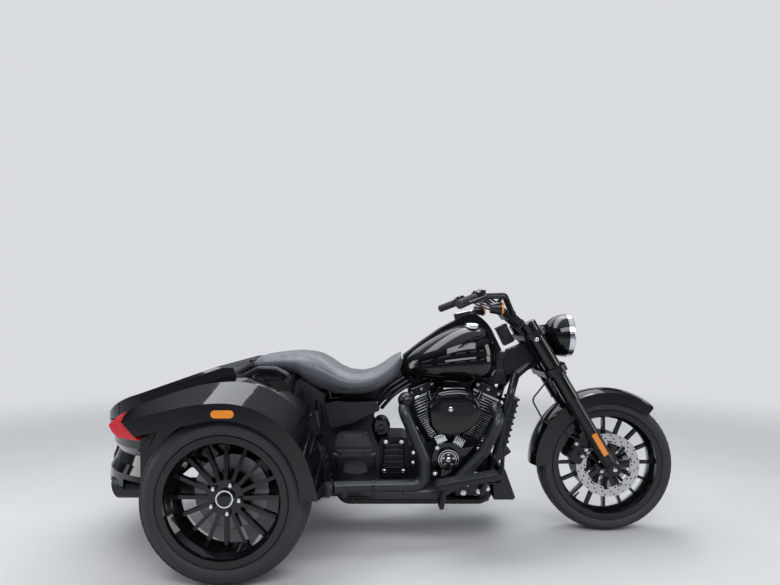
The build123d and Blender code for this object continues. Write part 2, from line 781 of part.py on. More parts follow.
def finned(lean):
    """A barrel whose fins grow outward from the V, then a head with deeper fins."""
    into_v = 1 if lean > 0 else -1
    with BuildPart() as made:
        with BuildSketch(cylinder_plane(lean, DECK)):
            Circle(BARREL_R)
        extrude(amount=ROCKER_START - DECK)
        for row in range(FIN_COUNT + HEAD_FINS):
            head = row >= FIN_COUNT
            up = HEAD_START + 8 + (row - FIN_COUNT) * HEAD_PITCH if head else DECK + 5 + row * FIN_PITCH
            outer = FIN_OUTER + FIN_GROWTH * row
            inner = min(outer - 14, up * tan(radians((REAR_LEAN - FRONT_LEAN) / 2)) - FIN_GAP)
            half = FIN_HALF + 8 if head else FIN_HALF
            with BuildSketch(cylinder_plane(lean, up)):
                with Locations((0, into_v * (outer - inner) / 2)):
                    RectangleRounded(2 * half, outer + inner, 30)
            extrude(amount=FIN_THICK + 2 if head else FIN_THICK)
        with BuildSketch(cylinder_plane(lean, HEAD_START)):
            Rectangle(2 * FIN_HALF - 30, 130)
        extrude(amount=ROCKER_START - HEAD_START)
    return made.part


def rocker(lean):
    """The rounded rocker box on top of a head."""
    with BuildPart() as made:
        with BuildSketch(cylinder_plane(lean, ROCKER_START + FIT)):
            RectangleRounded(176, 150, 22)
        extrude(amount=16)
        with BuildSketch(cylinder_plane(lean, ROCKER_START + FIT + 16)):
            RectangleRounded(160, 134, 20)
        extrude(amount=ROCKER_TALL - 16)
        along = Axis((0, 0, 0), tuple(cylinder_plane(lean, 0).z_dir))
        fillet(made.faces().sort_by(along)[-1].edges(), 12)
    return made.part


with BuildPart() as cylinders:
    add(finned(REAR_LEAN))
    add(finned(FRONT_LEAN))
    add(crankcase.part, mode=Mode.SUBTRACT)
keep(cylinders, "cylinders")
with BuildPart() as rocker_boxes:
    add(rocker(REAR_LEAN))
    add(rocker(FRONT_LEAN))
keep(rocker_boxes, "rocker_boxes")

COVER_FACE = CASE_HALF + FIT
CAM = (897.0, 379.0)
with BuildPart() as cam_cover:
    with BuildSketch(side(-COVER_FACE)):
        with Locations(CAM):
            Circle(72)
        Polygon((828, 300), (1033, 300), (1043, 440), (953, 425), (843, 440), align=None)
        with Locations((CRANK[0] + 60, CRANK[1] - 62)):
            Circle(46)
    extrude(amount=70)
    with BuildSketch(side(-COVER_FACE - 70)):
        with Locations(CAM):
            Circle(49)
    extrude(amount=24)

CLEANER_FACE = 272.0
CLEANER = (
    (801, 612), (830, 664), (862, 694), (968, 698), (1030, 646),
    (1034, 580), (1003, 532), (944, 498), (870, 498), (814, 536),
)
with BuildPart() as air_cleaner:
    with BuildSketch(side(-200)):
        Polygon(*CLEANER, align=None)
        fillet(vertices(), 24)
    extrude(amount=CLEANER_FACE - 200)
    fillet(air_cleaner.faces().sort_by(Axis.Y)[0].edges(), 22)
    with BuildSketch(side(4 - CLEANER_FACE)):
        with Locations((930, 616)):
            SlotOverall(158, 52)
    extrude(amount=8)
    add(rod((948, 0, 590), (948, -205, 590), 30))
    add(rod((896, 0, 590), (982, 0, 590), 24))
    add(cylinders.part, mode=Mode.SUBTRACT)
keep(air_cleaner, "air_cleaner")

with BuildPart() as transmission:
    with BuildSketch(side(95)):
        with Locations((650, 372)):
            RectangleRounded(138, 190, 30)
    extrude(amount=240)
    with BuildSketch(side(-145)):
        Polygon((591, 292), (708, 292), (694, 442), (606, 442), align=None)
    extrude(amount=22)
    fillet(transmission.faces().sort_by(Axis.Y)[0].edges(), 8)
    with BuildSketch(side(104)):
        Polygon((452, 286), (800, 286), (800, 196), (770, 170), (480, 170), (452, 196), align=None)
    extrude(amount=208)
    with BuildSketch(side(-40)):
        with Locations((592, 520)):
            Circle(36)
    extrude(amount=112)
    with BuildSketch(side(-60)):
        Polygon((575, 500), (610, 500), (640, 440), (600, 440), align=None)
    extrude(amount=40)
with BuildPart() as engine_cases:
    add(crankcase.part)
    add(transmission.part)
    add(frame_cradle.part, mode=Mode.SUBTRACT)
keep(engine_cases, "engine_cases")

with BuildPart() as primary_cover:
    with BuildSketch(side(COVER_FACE + 92)):
        with Locations((945, 325)):
            Circle(122)
        with Locations((668, 345)):
            Circle(96)
        Polygon((945, 447), (668, 441), (668, 249), (945, 203), align=None)
    extrude(amount=92)
    fillet(primary_cover.faces().sort_by(Axis.Y)[-1].edges(), 22)
with BuildPart() as engine_covers:
    add(cam_cover.part)
    add(primary_cover.part)
keep(engine_covers, "engine_covers")

# Exhaust: a pipe from each head, a silencer on each side with a relief under the axle tube
PIPE_R = 26.0
SILENCER_R = 43.0
SILENCER_Y = 300.0
SILENCER_Z = 280.0
SILENCER_START = 385.0
SILENCER_END = -574.0
TIP_DEEP = 70.0
with BuildPart() as silencer:
    add(
        rod(
            (SILENCER_START - FIT, -SILENCER_Y, SILENCER_Z),
            (SILENCER_END, -SILENCER_Y, SILENCER_Z),
            SILENCER_R,
        )
    )
    chamfer(silencer.faces().sort_by(Axis.X)[-1].edges(), 16)
    with BuildSketch(cross(SILENCER_END + TIP_DEEP)):
        with Locations((-SILENCER_Y, SILENCER_Z)):
            Circle(SILENCER_R - 7)
    extrude(amount=-2 * TIP_DEEP, mode=Mode.SUBTRACT)
    with BuildSketch(side(-SILENCER_Y + 60)):
        Polygon(
            (SILENCER_END, SILENCER_Z + 50),
            (SILENCER_END + 34, SILENCER_Z - 50),
            (SILENCER_END - 40, SILENCER_Z - 50),
            (SILENCER_END - 40, SILENCER_Z + 50),
            align=None,
        )
    extrude(amount=120, mode=Mode.SUBTRACT)
    add(rod((0, -200, REAR_TYRE_R), (0, -400, REAR_TYRE_R), AXLE_TUBE_R + 4), mode=Mode.SUBTRACT)
with BuildPart() as silencers:
    add(both_sides(silencer.part))
keep(silencers, "silencers")

REAR_PIPE = [
    (728, -70, 640),
    (690, -236, 612),
    (786, -262, 390),
    (784, -262, SILENCER_Z),
    (430, -285, SILENCER_Z),
    (SILENCER_START, -SILENCER_Y, SILENCER_Z),
]
FRONT_PIPE = [
    (1120, -70, 598),
    (1128, -228, 566),
    (1048, -236, 414),
    (926, -236, 282),
    (850, -240, 238),
    (600, -262, 246),
    (500, -272, 268),
]
CROSSOVER = [
    (432, -282, 276),
    (424, -205, 226),
    (424, 205, 226),
    (432, 282, 276),
    (SILENCER_START, SILENCER_Y, SILENCER_Z),
]
with BuildPart() as exhaust_pipes:
    add(tube(REAR_PIPE, PIPE_R, 46))
    add(tube(FRONT_PIPE, PIPE_R, 46))
    add(tube(CROSSOVER, 22, 26))
    for solid in (
        cylinders.part,
        rocker_boxes.part,
        engine_cases.part,
        cam_cover.part,
        frame_cradle.part,
        silencers.part,
    ):
        add(solid, mode=Mode.SUBTRACT)
keep(exhaust_pipes, "exhaust_pipes")

# Fuel tank: sections from the tail to the nose with a raised console along the top
# Columns: x, half width, bottom height, widest height, top height
TANK = (
    (684, 62, 752, 776, 806),
    (770, 142, 734, 792, 886),
    (870, 180, 728, 806, 948),
    (985, 192, 724, 818, 988),
    (1080, 168, 734, 826, 972),
    (1136, 92, 758, 824, 902),
)
with BuildPart() as fuel_tank:
    for x, half, bottom, wide, top in TANK:
        with BuildSketch(cross(x)):
            with BuildLine():
                Line((-half * 0.72, bottom), (half * 0.72, bottom))
                for s in (1, -1):
                    ThreePointArc(
                        (s * half * 0.72, bottom),
                        (s * half * 0.985, wide - (wide - bottom) * 0.5),
                        (s * half, wide + (top - wide) * 0.12),
                    )
                    ThreePointArc(
                        (s * half, wide + (top - wide) * 0.12),
                        (s * half * 0.8, wide + (top - wide) * 0.72),
                        (s * half * 0.3, top),
                    )
                Line((half * 0.3, top), (-half * 0.3, top))
            make_face()
    loft()
    add(frame_cradle.part, mode=Mode.SUBTRACT)
    add(rocker_boxes.part, mode=Mode.SUBTRACT)
keep(fuel_tank, "fuel_tank")

CONSOLE_HALF = 60.0
with BuildPart() as tank_console:
    with BuildSketch(side(CONSOLE_HALF)):
        with BuildLine():
            Polyline((696, 810), (696, 839), (779, 903), (877, 971), (998, 1034), (1040, 1040))
            ThreePointArc((1040, 1040), (1084, 1008), (1120, 961))
            Polyline((1120, 961), (1166, 866), (1130, 842), (760, 800), (696, 810))
        make_face()
    extrude(amount=2 * CONSOLE_HALF)
    add(fuel_tank.part, mode=Mode.SUBTRACT)
    add(frame_cradle.part, mode=Mode.SUBTRACT)
keep(tank_console, "tank_console")
GAUGE_FOOT = at(1000, 0, 1020)
GAUGE_DIR = Vector(-sin(radians(12)), 0, cos(radians(12)))
with BuildPart() as speedometer:
    with BuildSketch(Plane(origin=GAUGE_FOOT, x_dir=(0, 1, 0), z_dir=GAUGE_DIR)):
        Circle(52)
    extrude(amount=28)
    add(tank_console.part, mode=Mode.SUBTRACT)
keep(speedometer, "speedometer")

# Seat: a wide rider's bucket and a narrower rear pad
SEAT_RIDER_HALF = 190.0
SHELF_Z = 768.0
SEAT_REAR_HALF = 160.0
with BuildPart() as seat:
    with BuildSketch(side(SEAT_RIDER_HALF)):
        with BuildLine():
            ThreePointArc((330, 842), (450, 768), (575, 788))
            ThreePointArc((575, 788), (630, 826), (676, 838))
            Polyline((676, 838), (676, 790), (640, 740), (560, 690), (450, 664), (330, 680), (330, 842))
        make_face()
    extrude(amount=2 * SEAT_RIDER_HALF)
    with BuildSketch(side(SEAT_REAR_HALF)):
        with BuildLine():
            ThreePointArc((8, 812), (150, 854), (340, 840))
            Polyline(
                (340, 840),
                (350, 690),
                (236, 700),
                (196, 764 + FIT),
                (4, SHELF_Z + FIT),
                (8, 812),
            )
        make_face()
    extrude(amount=2 * SEAT_REAR_HALF)
    add(fuel_tank.part, mode=Mode.SUBTRACT)
    add(tank_console.part, mode=Mode.SUBTRACT)
    add(frame_cradle.part, mode=Mode.SUBTRACT)
keep(seat, "seat")

with BuildPart() as side_cover:
    with BuildSketch(side(-SIDE_COVER_IN)):
        Polygon((335, 632), (568, 640), (592, 602), (520, 575), (470, 545), (365, 520), align=None)
    extrude(amount=34)
    fillet(side_cover.edges().filter_by(Axis.Y), 12)
with BuildPart() as side_covers:
    add(both_sides(side_cover.part))
keep(side_covers, "side_covers")

# Trunk: a hollow crowned body between the fenders with a lid on top
BODY_HALF = 430.0
CROWN_R = 1195.0
BODY_WALL = 5.0
TAIL_AXIS = -(REAR_OVERHANG - 469.5)
TAIL_BACK = -(REAR_OVERHANG + 9)
TAIL_WRAP = (
    (0, 150), (449.5, 150), (449.5, 277), (469.5, 303), (463.5, 357), (443.5, 392),
    (427.5, 432), (449.5, 468), (452.5, 500), (469.5, 560), (469.5, 950), (0, 950),
)
LID_FRONT_X = -32.0
LID_PIN = (-29.5, 815.0)
LID_KNUCKLE_R = 6.0
LID_HALF = 348.0
SEAM = 5.0
RECESS_TOP = (-(REAR_OVERHANG - 59), 487.0)
RECESS_FOOT = (-(REAR_OVERHANG - 13), 361.0)
RECESS_HALF = 112.0
PAD_HALF = 100.0
TAIL_FLOOR_Z = 340.0
CROWN_TILT = radians(19)
CROWN_PLANE = Plane(
    origin=at(-98, 0, 814 - CROWN_R),
    x_dir=(0, 1, 0),
    z_dir=(-cos(CROWN_TILT), 0, -sin(CROWN_TILT)),
)


def tail_wrap(inset):
    """The body in plan: straight sides, then a round tail with a bumper and a groove above it."""
    with BuildPart() as made:
        with BuildSketch(Plane(origin=at(TAIL_AXIS, 0, 0), x_dir=(-1, 0, 0), z_dir=(0, 1, 0))):
            Polygon(*[(max(r - inset, 0), z) for r, z in TAIL_WRAP], align=None)
        revolve(axis=Axis(at(TAIL_AXIS, 0, 0), (0, 0, 1)))
        with BuildSketch(level(100)):
            with Locations((-50, 0)):
                Rectangle(700, 2 * (BODY_HALF - inset))
        extrude(amount=900)
    return made.part


def trunk_form(inset):
    """The trunk's outer form, drawn in by an inset on every side."""
    with BuildPart() as made:
        with BuildSketch(side(BODY_HALF - inset)):
            with BuildLine():
                ThreePointArc((-420, 700), (-560, 640), (TAIL_BACK, 535))
                Polyline(
                    (TAIL_BACK, 535),
                    (TAIL_BACK, 280),
                    (-500, 280),
                    (-500, 335),
                    (-270, 335),
                    (-190, 400),
                    (BODY_FRONT_X, 400),
                    (BODY_FRONT_X, 690),
                    (196, 764),
                    (0, SHELF_Z),
                    (-14, 812),
                    (-98, 813),
                    (-420, 700),
                )
            make_face()
            if inset:
                offset(amount=-inset, kind=Kind.INTERSECTION)
        extrude(amount=2 * (BODY_HALF - inset))
        add(tail_wrap(inset), mode=Mode.INTERSECT)
        with BuildSketch(side(PAD_HALF - inset)):
            Polygon(RECESS_TOP, RECESS_FOOT, (-590, RECESS_FOOT[1]), (-590, RECESS_TOP[1]), align=None)
            if inset:
                offset(amount=-inset, kind=Kind.INTERSECTION)
        extrude(amount=2 * (PAD_HALF - inset))
        with BuildSketch(side(RECESS_HALF + inset)):
            Polygon(RECESS_TOP, (-720, RECESS_TOP[1] + 4), (-720, RECESS_FOOT[1]), RECESS_FOOT, align=None)
            if inset:
                offset(amount=inset, kind=Kind.INTERSECTION)
        extrude(amount=2 * (RECESS_HALF + inset), mode=Mode.SUBTRACT)
        with BuildSketch(CROWN_PLANE):
            Circle(CROWN_R + 2 - inset)
        extrude(amount=2600, both=True, mode=Mode.INTERSECT)
    return made.part


def lid_zone(gap):
    """The space the lid takes out of the trunk's shell, grown by a gap."""
    with BuildPart() as made:
        with BuildSketch(side(LID_HALF + gap)):
            Polygon(
                (LID_FRONT_X + gap, 900),
                (LID_FRONT_X + gap, 700 - gap),
                (-720, 548 - gap),
                (-720, 900),
                align=None,
            )
        extrude(amount=2 * (LID_HALF + gap))
    return made.part


def pin_part(y_from, y_to, radius):
    """A round piece on the lid's hinge line."""
    return rod((LID_PIN[0], y_from, LID_PIN[1]), (LID_PIN[0], y_to, LID_PIN[1]), radius)


with BuildPart() as rear_floor:
    add(trunk_form(FIT))
    with BuildSketch(level(TAIL_FLOOR_Z - BODY_WALL)):
        Rectangle(2000, 1000)
    extrude(amount=BODY_WALL, mode=Mode.INTERSECT)
with BuildPart() as trunk_body:
    add(trunk_form(0))
    add(trunk_form(BODY_WALL), mode=Mode.SUBTRACT)
    add(rear_floor.part)
    with BuildSketch(level(250)):
        with Locations((TAIL_AXIS, 0)):
            Circle(TAIL_WRAP[1][0] - BODY_WALL)
        with Locations((TAIL_AXIS + 10, 0)):
            Rectangle(2 * (TAIL_AXIS + 505), 1000, mode=Mode.SUBTRACT)
    extrude(amount=TAIL_FLOOR_Z - BODY_WALL - 250, mode=Mode.SUBTRACT)
    add(lid_zone(SEAM), mode=Mode.SUBTRACT)
    add(frame_cradle.part, mode=Mode.SUBTRACT)
    for y in (-SILENCER_Y, SILENCER_Y):
        add(rod((-700, y, SILENCER_Z), (-400, y, SILENCER_Z), SILENCER_R + 5), mode=Mode.SUBTRACT)
    add(pin_part(-62, 62, LID_KNUCKLE_R + 2), mode=Mode.SUBTRACT)
    add(pin_part(-20, 20, LID_KNUCKLE_R))
    add(rod((LID_PIN[0] + 4, 0, LID_PIN[1] - 3), (-16, 0, 809), 3))
keep(trunk_body, "trunk_body")
with BuildPart() as trunk_lid:
    add(trunk_form(0))
    add(trunk_form(BODY_WALL), mode=Mode.SUBTRACT)
    add(lid_zone(0), mode=Mode.INTERSECT)
    add(pin_part(-22, 22, LID_KNUCKLE_R + 2), mode=Mode.SUBTRACT)
    for y in (-59.4, 20.4):
        add(pin_part(y, y + 39, LID_KNUCKLE_R))
keep(trunk_lid, "trunk_lid")

# Rear fenders: hollow rounded shells with an open wheel arch
FENDER_IN = BODY_HALF + FIT
FENDER_OUT = 690.0
FENDER_RIDGE = 594.0
FENDER_WALL = 5.0
FENDER_TAIL = -405.0
# Columns for the ridge and the outer crease: start x, start angle,
# then radius and turn of each arc, tail slope
RIDGE = (385.0, 90.0, (560, 25), (330, 65), (640, 15), (1500, 8), 0.425)
CREASE = (367.0, 102.0, (967, 8), (345, 70), (700, 10), (1400, 4), 0.249)


def fender_face(y, line, inset, tail):
    """A side view of the fender whose upper edge runs in four arcs from the nose to the tail."""
    start_x, angle, *arcs, slope = line
    with BuildSketch(side(y)) as face:
        with BuildLine():
            spot, heading = (start_x - inset, 345), (cos(radians(angle)), sin(radians(angle)))
            for radius, turn in arcs:
                arc = JernArc(spot, heading, radius - inset, turn)
                spot, heading = arc @ 1, arc % 1
            last = (tail, spot.Y - slope * (spot.X - tail))
            Polyline(spot, last, (tail, 340 - inset), (start_x - inset, 340 - inset), (start_x - inset, 345))
        make_face()
    return face.sketch


def fender_form(inset, tail):
    """The fender's form, drawn in by an inset: flat across to a ridge, then sloping to the crease."""
    ridge, outer = FENDER_RIDGE - inset / 2, FENDER_OUT - inset
    with BuildPart() as made:
        extrude(fender_face(-FENDER_IN - inset, RIDGE, inset, tail), amount=ridge - FENDER_IN - inset)
        loft([fender_face(-ridge, RIDGE, inset, tail), fender_face(-outer, CREASE, inset, tail)], ruled=True)
    return made.part


with BuildPart() as fender_shape:
    add(fender_form(0, FENDER_TAIL))
    add(fender_form(FENDER_WALL, FENDER_TAIL - 5), mode=Mode.SUBTRACT)
    with BuildSketch(side(-FENDER_IN + 10)):
        with Locations((0, 338)):
            Circle(300)
        Polygon((-62.4, 631.4), (-420, 555.4), (-420, 300), (0, 300), align=None)
        Polygon((-375, 648), (-300, 564), (-300, 500), (-460, 500), (-460, 700), (-375, 700), align=None)
    extrude(amount=FENDER_OUT - FENDER_IN + 40, mode=Mode.SUBTRACT)
keep(fender_shape, "rear_fender_right")
with BuildPart() as fender_left:
    mirror(fender_shape.part, about=Plane.XZ)
keep(fender_left, "rear_fender_left")

with BuildPart() as tail_lamp:
    with BuildSketch(side(-482)):
        Polygon(
            (-375.2, 647.8),
            (-300.2, 563.8),
            (-372, 574),
            (-396, 596),
            (-412, 628),
            (-400, 650),
            align=None,
        )
    extrude(amount=204)
    add(fender_form(1, FENDER_TAIL - 20), mode=Mode.INTERSECT)
with BuildPart() as tail_lamps:
    add(both_sides(tail_lamp.part))
keep(tail_lamps, "tail_lamps")

with BuildPart() as side_marker:
    with BuildSketch(side(-FENDER_OUT - FIT)):
        with Locations((14, 662)):
            SlotOverall(85, 29)
    extrude(amount=5)
with BuildPart() as side_markers:
    add(both_sides(side_marker.part))
keep(side_markers, "side_markers")

PLATE_THICK = 4.0
PLATE_HOLE_R = 3.5
PLATE_HOLE_Y = 73.0
PLATE_HOLE_UP = 40.0
RECESS_UP = at(RECESS_TOP[0], 0, RECESS_TOP[1]) - at(RECESS_FOOT[0], 0, RECESS_FOOT[1])
PLATE_OUT = Vector(0, 1, 0).cross(RECESS_UP).normalized() * -1
PLATE_PLANE = Plane(
    origin=at(RECESS_FOOT[0], 0, RECESS_FOOT[1]) + RECESS_UP * 0.5 + PLATE_OUT * FIT,
    x_dir=(0, 1, 0),
    z_dir=PLATE_OUT,
)
with BuildPart() as plate_holder:
    with BuildSketch(PLATE_PLANE):
        RectangleRounded(190, 116, 8)
        with Locations((-PLATE_HOLE_Y, -PLATE_HOLE_UP), (PLATE_HOLE_Y, -PLATE_HOLE_UP)):
            Circle(PLATE_HOLE_R, mode=Mode.SUBTRACT)
    extrude(amount=PLATE_THICK)
keep(plate_holder, "plate_holder")

# Grab rails, floorboards and foot controls
RAIL_R = 13.0
GRAB_Y = -330.0
GRAB_PATH = [
    (-10, GRAB_Y, 760),
    (70, GRAB_Y, 799),
    (140, GRAB_Y, 797),
    (206, GRAB_Y, 764),
    (168, GRAB_Y, 700),
]
with BuildPart() as grab_rail:
    add(tube(GRAB_PATH, RAIL_R, 26))
    add(trunk_form(-FIT), mode=Mode.SUBTRACT)
with BuildPart() as grab_rails:
    add(both_sides(grab_rail.part))
keep(grab_rails, "grab_rails")

BOARD_SLOPE = radians(10)
BOARD_PLANE = Plane(
    origin=at(966, -350, 318),
    x_dir=(cos(BOARD_SLOPE), 0, sin(BOARD_SLOPE)),
    z_dir=(-sin(BOARD_SLOPE), 0, cos(BOARD_SLOPE)),
)
with BuildPart() as floorboard:
    with BuildSketch(BOARD_PLANE):
        RectangleRounded(284, 110, 36)
    extrude(amount=16)
    add(tube([(860, -RAIL_Y, RAIL_Z), (860, -275, RAIL_Z + 4), (870, -345, 306)], 11, 25))
    add(rod((1050, -RAIL_Y, 195), (1050, -345, 325), 13))
    for solid in (frame_cradle.part, crankcase.part, exhaust_pipes.part, cam_cover.part):
        add(solid, mode=Mode.SUBTRACT)
with BuildPart() as floorboards:
    add(both_sides(floorboard.part))
    add(primary_cover.part, mode=Mode.SUBTRACT)

PEDAL_SLOPE = radians(35)
PEDAL_PLANE = Plane(
    origin=at(1118, -330, 425),
    x_dir=(cos(PEDAL_SLOPE), 0, sin(PEDAL_SLOPE)),
    z_dir=(-sin(PEDAL_SLOPE), 0, cos(PEDAL_SLOPE)),
)
with BuildPart() as pedals:
    add(tube([(1030, -250, 290), (1120, -300, 300), (1120, -322, 420)], 9, 16))
    with BuildSketch(PEDAL_PLANE):
        RectangleRounded(80, 56, 12)
    extrude(amount=16)
    add(floorboards.part)
    add(crankcase.part, mode=Mode.SUBTRACT)
keep(pedals, "floorboards_and_pedal")

# Passenger boards fold down about a pin that lies along the vehicle
with BuildPart() as board_shape:
    with BuildSketch(side(-BOARD_Y + 9)):
        Polygon(
            (BOARD_MID_X - 95, BOARD_PIN_Z + 18),
            (BOARD_MID_X - 69, BOARD_PIN_Z + 100),
            (BOARD_MID_X + 56, BOARD_PIN_Z + 100),
            (BOARD_MID_X + 89, BOARD_PIN_Z + 18),
            align=None,
        )
        fillet(vertices(), 20)
        with Locations((BOARD_MID_X, BOARD_PIN_Z + 12)):
            Rectangle(130, 40)
    extrude(amount=18)
    add(
        rod(
            (BOARD_MID_X - CHEEK_X + FIT, -BOARD_Y, BOARD_PIN_Z),
            (BOARD_MID_X + CHEEK_X - FIT, -BOARD_Y, BOARD_PIN_Z),
            KNUCKLE_R,
        )
    )
keep(board_shape, "passenger_board_right")
with BuildPart() as board_left:
    mirror(board_shape.part, about=Plane.XZ)
keep(board_left, "passenger_board_left")
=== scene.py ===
import json
from math import cos, pi, radians, sin, tan

import bmesh
import bpy
from mathutils import Matrix, Vector
from mathutils.bvhtree import BVHTree


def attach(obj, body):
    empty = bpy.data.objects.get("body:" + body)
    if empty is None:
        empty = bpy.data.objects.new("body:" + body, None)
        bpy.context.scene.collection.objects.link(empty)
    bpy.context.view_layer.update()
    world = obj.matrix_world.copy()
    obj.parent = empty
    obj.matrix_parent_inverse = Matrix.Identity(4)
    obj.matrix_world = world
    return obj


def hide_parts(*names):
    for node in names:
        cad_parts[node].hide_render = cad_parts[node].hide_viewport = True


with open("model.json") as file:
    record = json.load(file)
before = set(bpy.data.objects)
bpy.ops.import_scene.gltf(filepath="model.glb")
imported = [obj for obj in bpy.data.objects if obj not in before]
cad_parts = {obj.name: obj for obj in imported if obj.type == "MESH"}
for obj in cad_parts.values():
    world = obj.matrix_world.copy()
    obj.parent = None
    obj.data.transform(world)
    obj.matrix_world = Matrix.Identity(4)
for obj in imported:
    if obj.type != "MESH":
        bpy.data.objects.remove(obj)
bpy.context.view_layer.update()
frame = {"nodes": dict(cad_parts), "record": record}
REAR_X = -0.65425
WHEELBASE = 1670.0
HALF_TRACK = 555.0
REAR_R, FRONT_R = 325.0, 319.5
SIDES = (-1, 1)
OUT = (0, -1, 0)
DOWN = (0, 0, -1)


def P(x, y, z):
    """A point of the frame in metres, from millimetres ahead of the rear axle, to the left and up."""
    return Vector((REAR_X + x / 1000, y / 1000, z / 1000))


def angles(count, start=0.0):
    """Even angles once round."""
    return [2 * pi * k / count + start for k in range(count)]


def pitched(angle):
    """A turn about the vehicle's width that lifts the front of a piece by an angle."""
    return Matrix.Rotation(-angle, 3, "Y")


def catmull(a, b, c, d, t):
    """A point between b and c on a smooth line through four points."""
    square = 2 * a - 5 * b + 4 * c - d
    cube = 3 * b - a - 3 * c + d
    return 0.5 * (2 * b + (c - a) * t + square * t * t + cube * t ** 3)


# Camera and lights
IMAGE_WIDTH = 780
HORIZON_DROP = 27.5
camera_data = bpy.data.cameras.new("camera")
camera = bpy.data.objects.new("camera", camera_data)
bpy.context.scene.collection.objects.link(camera)
camera.location = P(633, -2850, 1010)
camera.rotation_euler = (pi / 2, 0, 0)
camera_data.sensor_width = 36
camera_data.lens = 27
camera_data.shift_y = HORIZON_DROP / IMAGE_WIDTH
bpy.context.scene.camera = camera
bpy.context.scene.view_settings.view_transform = "Standard"


def area(name, at, look, size, size_y, power, colour=(1, 1, 1)):
    """A soft rectangular light that faces a point."""
    data = bpy.data.lights.new(name, "AREA")
    data.shape = "RECTANGLE"
    data.size = size
    data.size_y = size_y
    data.energy = power
    data.color = colour
    light = bpy.data.objects.new(name, data)
    light.location = at
    light.rotation_euler = (Vector(look) - Vector(at)).to_track_quat("-Z", "Y").to_euler()
    bpy.context.scene.collection.objects.link(light)


COOL = (0.94, 0.97, 1.0)
area("key", (0.4, -3.4, 3.2), (0, 0, 0.5), 3.8, 1.6, 120, COOL)
area("ceiling", (-0.4, 0.3, 3.6), (-0.2, 0, 0.5), 5.0, 1.3, 110, COOL)
area("ceiling_back", (-0.4, 2.4, 3.3), (-0.2, 0, 0.5), 5.0, 2.0, 48, COOL)
area("front", (4.2, -1.2, 1.8), (0.6, 0, 0.5), 1.2, 2.2, 40)
area("tail", (-4.2, -0.8, 1.8), (-0.6, 0, 0.5), 1.2, 2.2, 40)

# Surroundings: an even light for matte surfaces, a dark hall with a pale ceiling and a band
# of windows for reflections, and a plain pale backdrop for the camera
BACKDROP = (0.70, 0.72, 0.74, 1)
EVEN_LIGHT = (0.74, 0.84, 0.98, 1)
EVEN_STRENGTH = 0.52
# Sockets of a colour mix node
MIX_A, MIX_B, MIX_OUT = 6, 7, 2
world = bpy.data.worlds.new("world")
bpy.context.scene.world = world
world.use_nodes = True
sky = world.node_tree
nodes, links = sky.nodes, sky.links
nodes.clear()
world_out = nodes.new("ShaderNodeOutputWorld")
path = nodes.new("ShaderNodeLightPath")
way = nodes.new("ShaderNodeTexCoord")
split = nodes.new("ShaderNodeSeparateXYZ")
ramp = nodes.new("ShaderNodeValToRGB")
even = nodes.new("ShaderNodeBackground")
hall = nodes.new("ShaderNodeBackground")
seen = nodes.new("ShaderNodeBackground")
mirror_mix = nodes.new("ShaderNodeMixShader")
camera_mix = nodes.new("ShaderNodeMixShader")
even.inputs[0].default_value = EVEN_LIGHT
even.inputs[1].default_value = EVEN_STRENGTH
seen.inputs[0].default_value = BACKDROP
seen.inputs[1].default_value = 1.0
# Rows: height of the view direction from straight down to straight up, brightness
HALL = (
    (0.0, 0.10), (0.10, 0.15), (0.14, 0.10), (0.19, 0.03),
    (0.44, 0.03), (0.60, 0.22), (0.85, 0.70), (1.0, 0.85),
)
for i, (at, value) in enumerate(HALL):
    stop = ramp.color_ramp.elements[i] if i < 2 else ramp.color_ramp.elements.new(at)
    stop.position = at
    stop.color = (value * 0.92, value, value * 1.08, 1)


def maths(tree, kind, a, b=0.0):
    """The result of a maths node on two values, each a socket or a number."""
    node = tree.nodes.new("ShaderNodeMath")
    node.operation = kind
    for slot, value in enumerate((a, b)):
        if isinstance(value, (int, float)):
            node.inputs[slot].default_value = value
        else:
            tree.links.new(value, node.inputs[slot])
    return node.outputs[0]


# Windows: bright panes between dark posts in a low band
WINDOWS = 15.0
POST_EDGE = -0.55
SILL, LINTEL = 0.20, 0.30
PANE_GLOW = 0.85
links.new(way.outputs["Generated"], split.inputs[0])
links.new(split.outputs[2], ramp.inputs[0])
heading = maths(sky, "ARCTAN2", split.outputs[1], split.outputs[0])
posts = maths(sky, "SINE", maths(sky, "MULTIPLY", heading, WINDOWS))
pane = maths(sky, "GREATER_THAN", posts, POST_EDGE)
low = maths(sky, "LESS_THAN", split.outputs[2], LINTEL)
high = maths(sky, "GREATER_THAN", split.outputs[2], SILL)
band = maths(sky, "MULTIPLY", low, high)
glow = maths(sky, "MULTIPLY", maths(sky, "MULTIPLY", pane, band), PANE_GLOW)
shine = nodes.new("ShaderNodeMix")
shine.data_type = "RGBA"
shine.blend_type = "ADD"
shine.inputs[0].default_value = 1.0
links.new(ramp.outputs[0], shine.inputs[MIX_A])
links.new(glow, shine.inputs[MIX_B])
links.new(shine.outputs[MIX_OUT], hall.inputs[0])
links.new(path.outputs["Is Glossy Ray"], mirror_mix.inputs[0])
links.new(even.outputs[0], mirror_mix.inputs[1])
links.new(hall.outputs[0], mirror_mix.inputs[2])
links.new(path.outputs["Is Camera Ray"], camera_mix.inputs[0])
links.new(mirror_mix.outputs[0], camera_mix.inputs[1])
links.new(seen.outputs[0], camera_mix.inputs[2])
links.new(camera_mix.outputs[0], world_out.inputs[0])


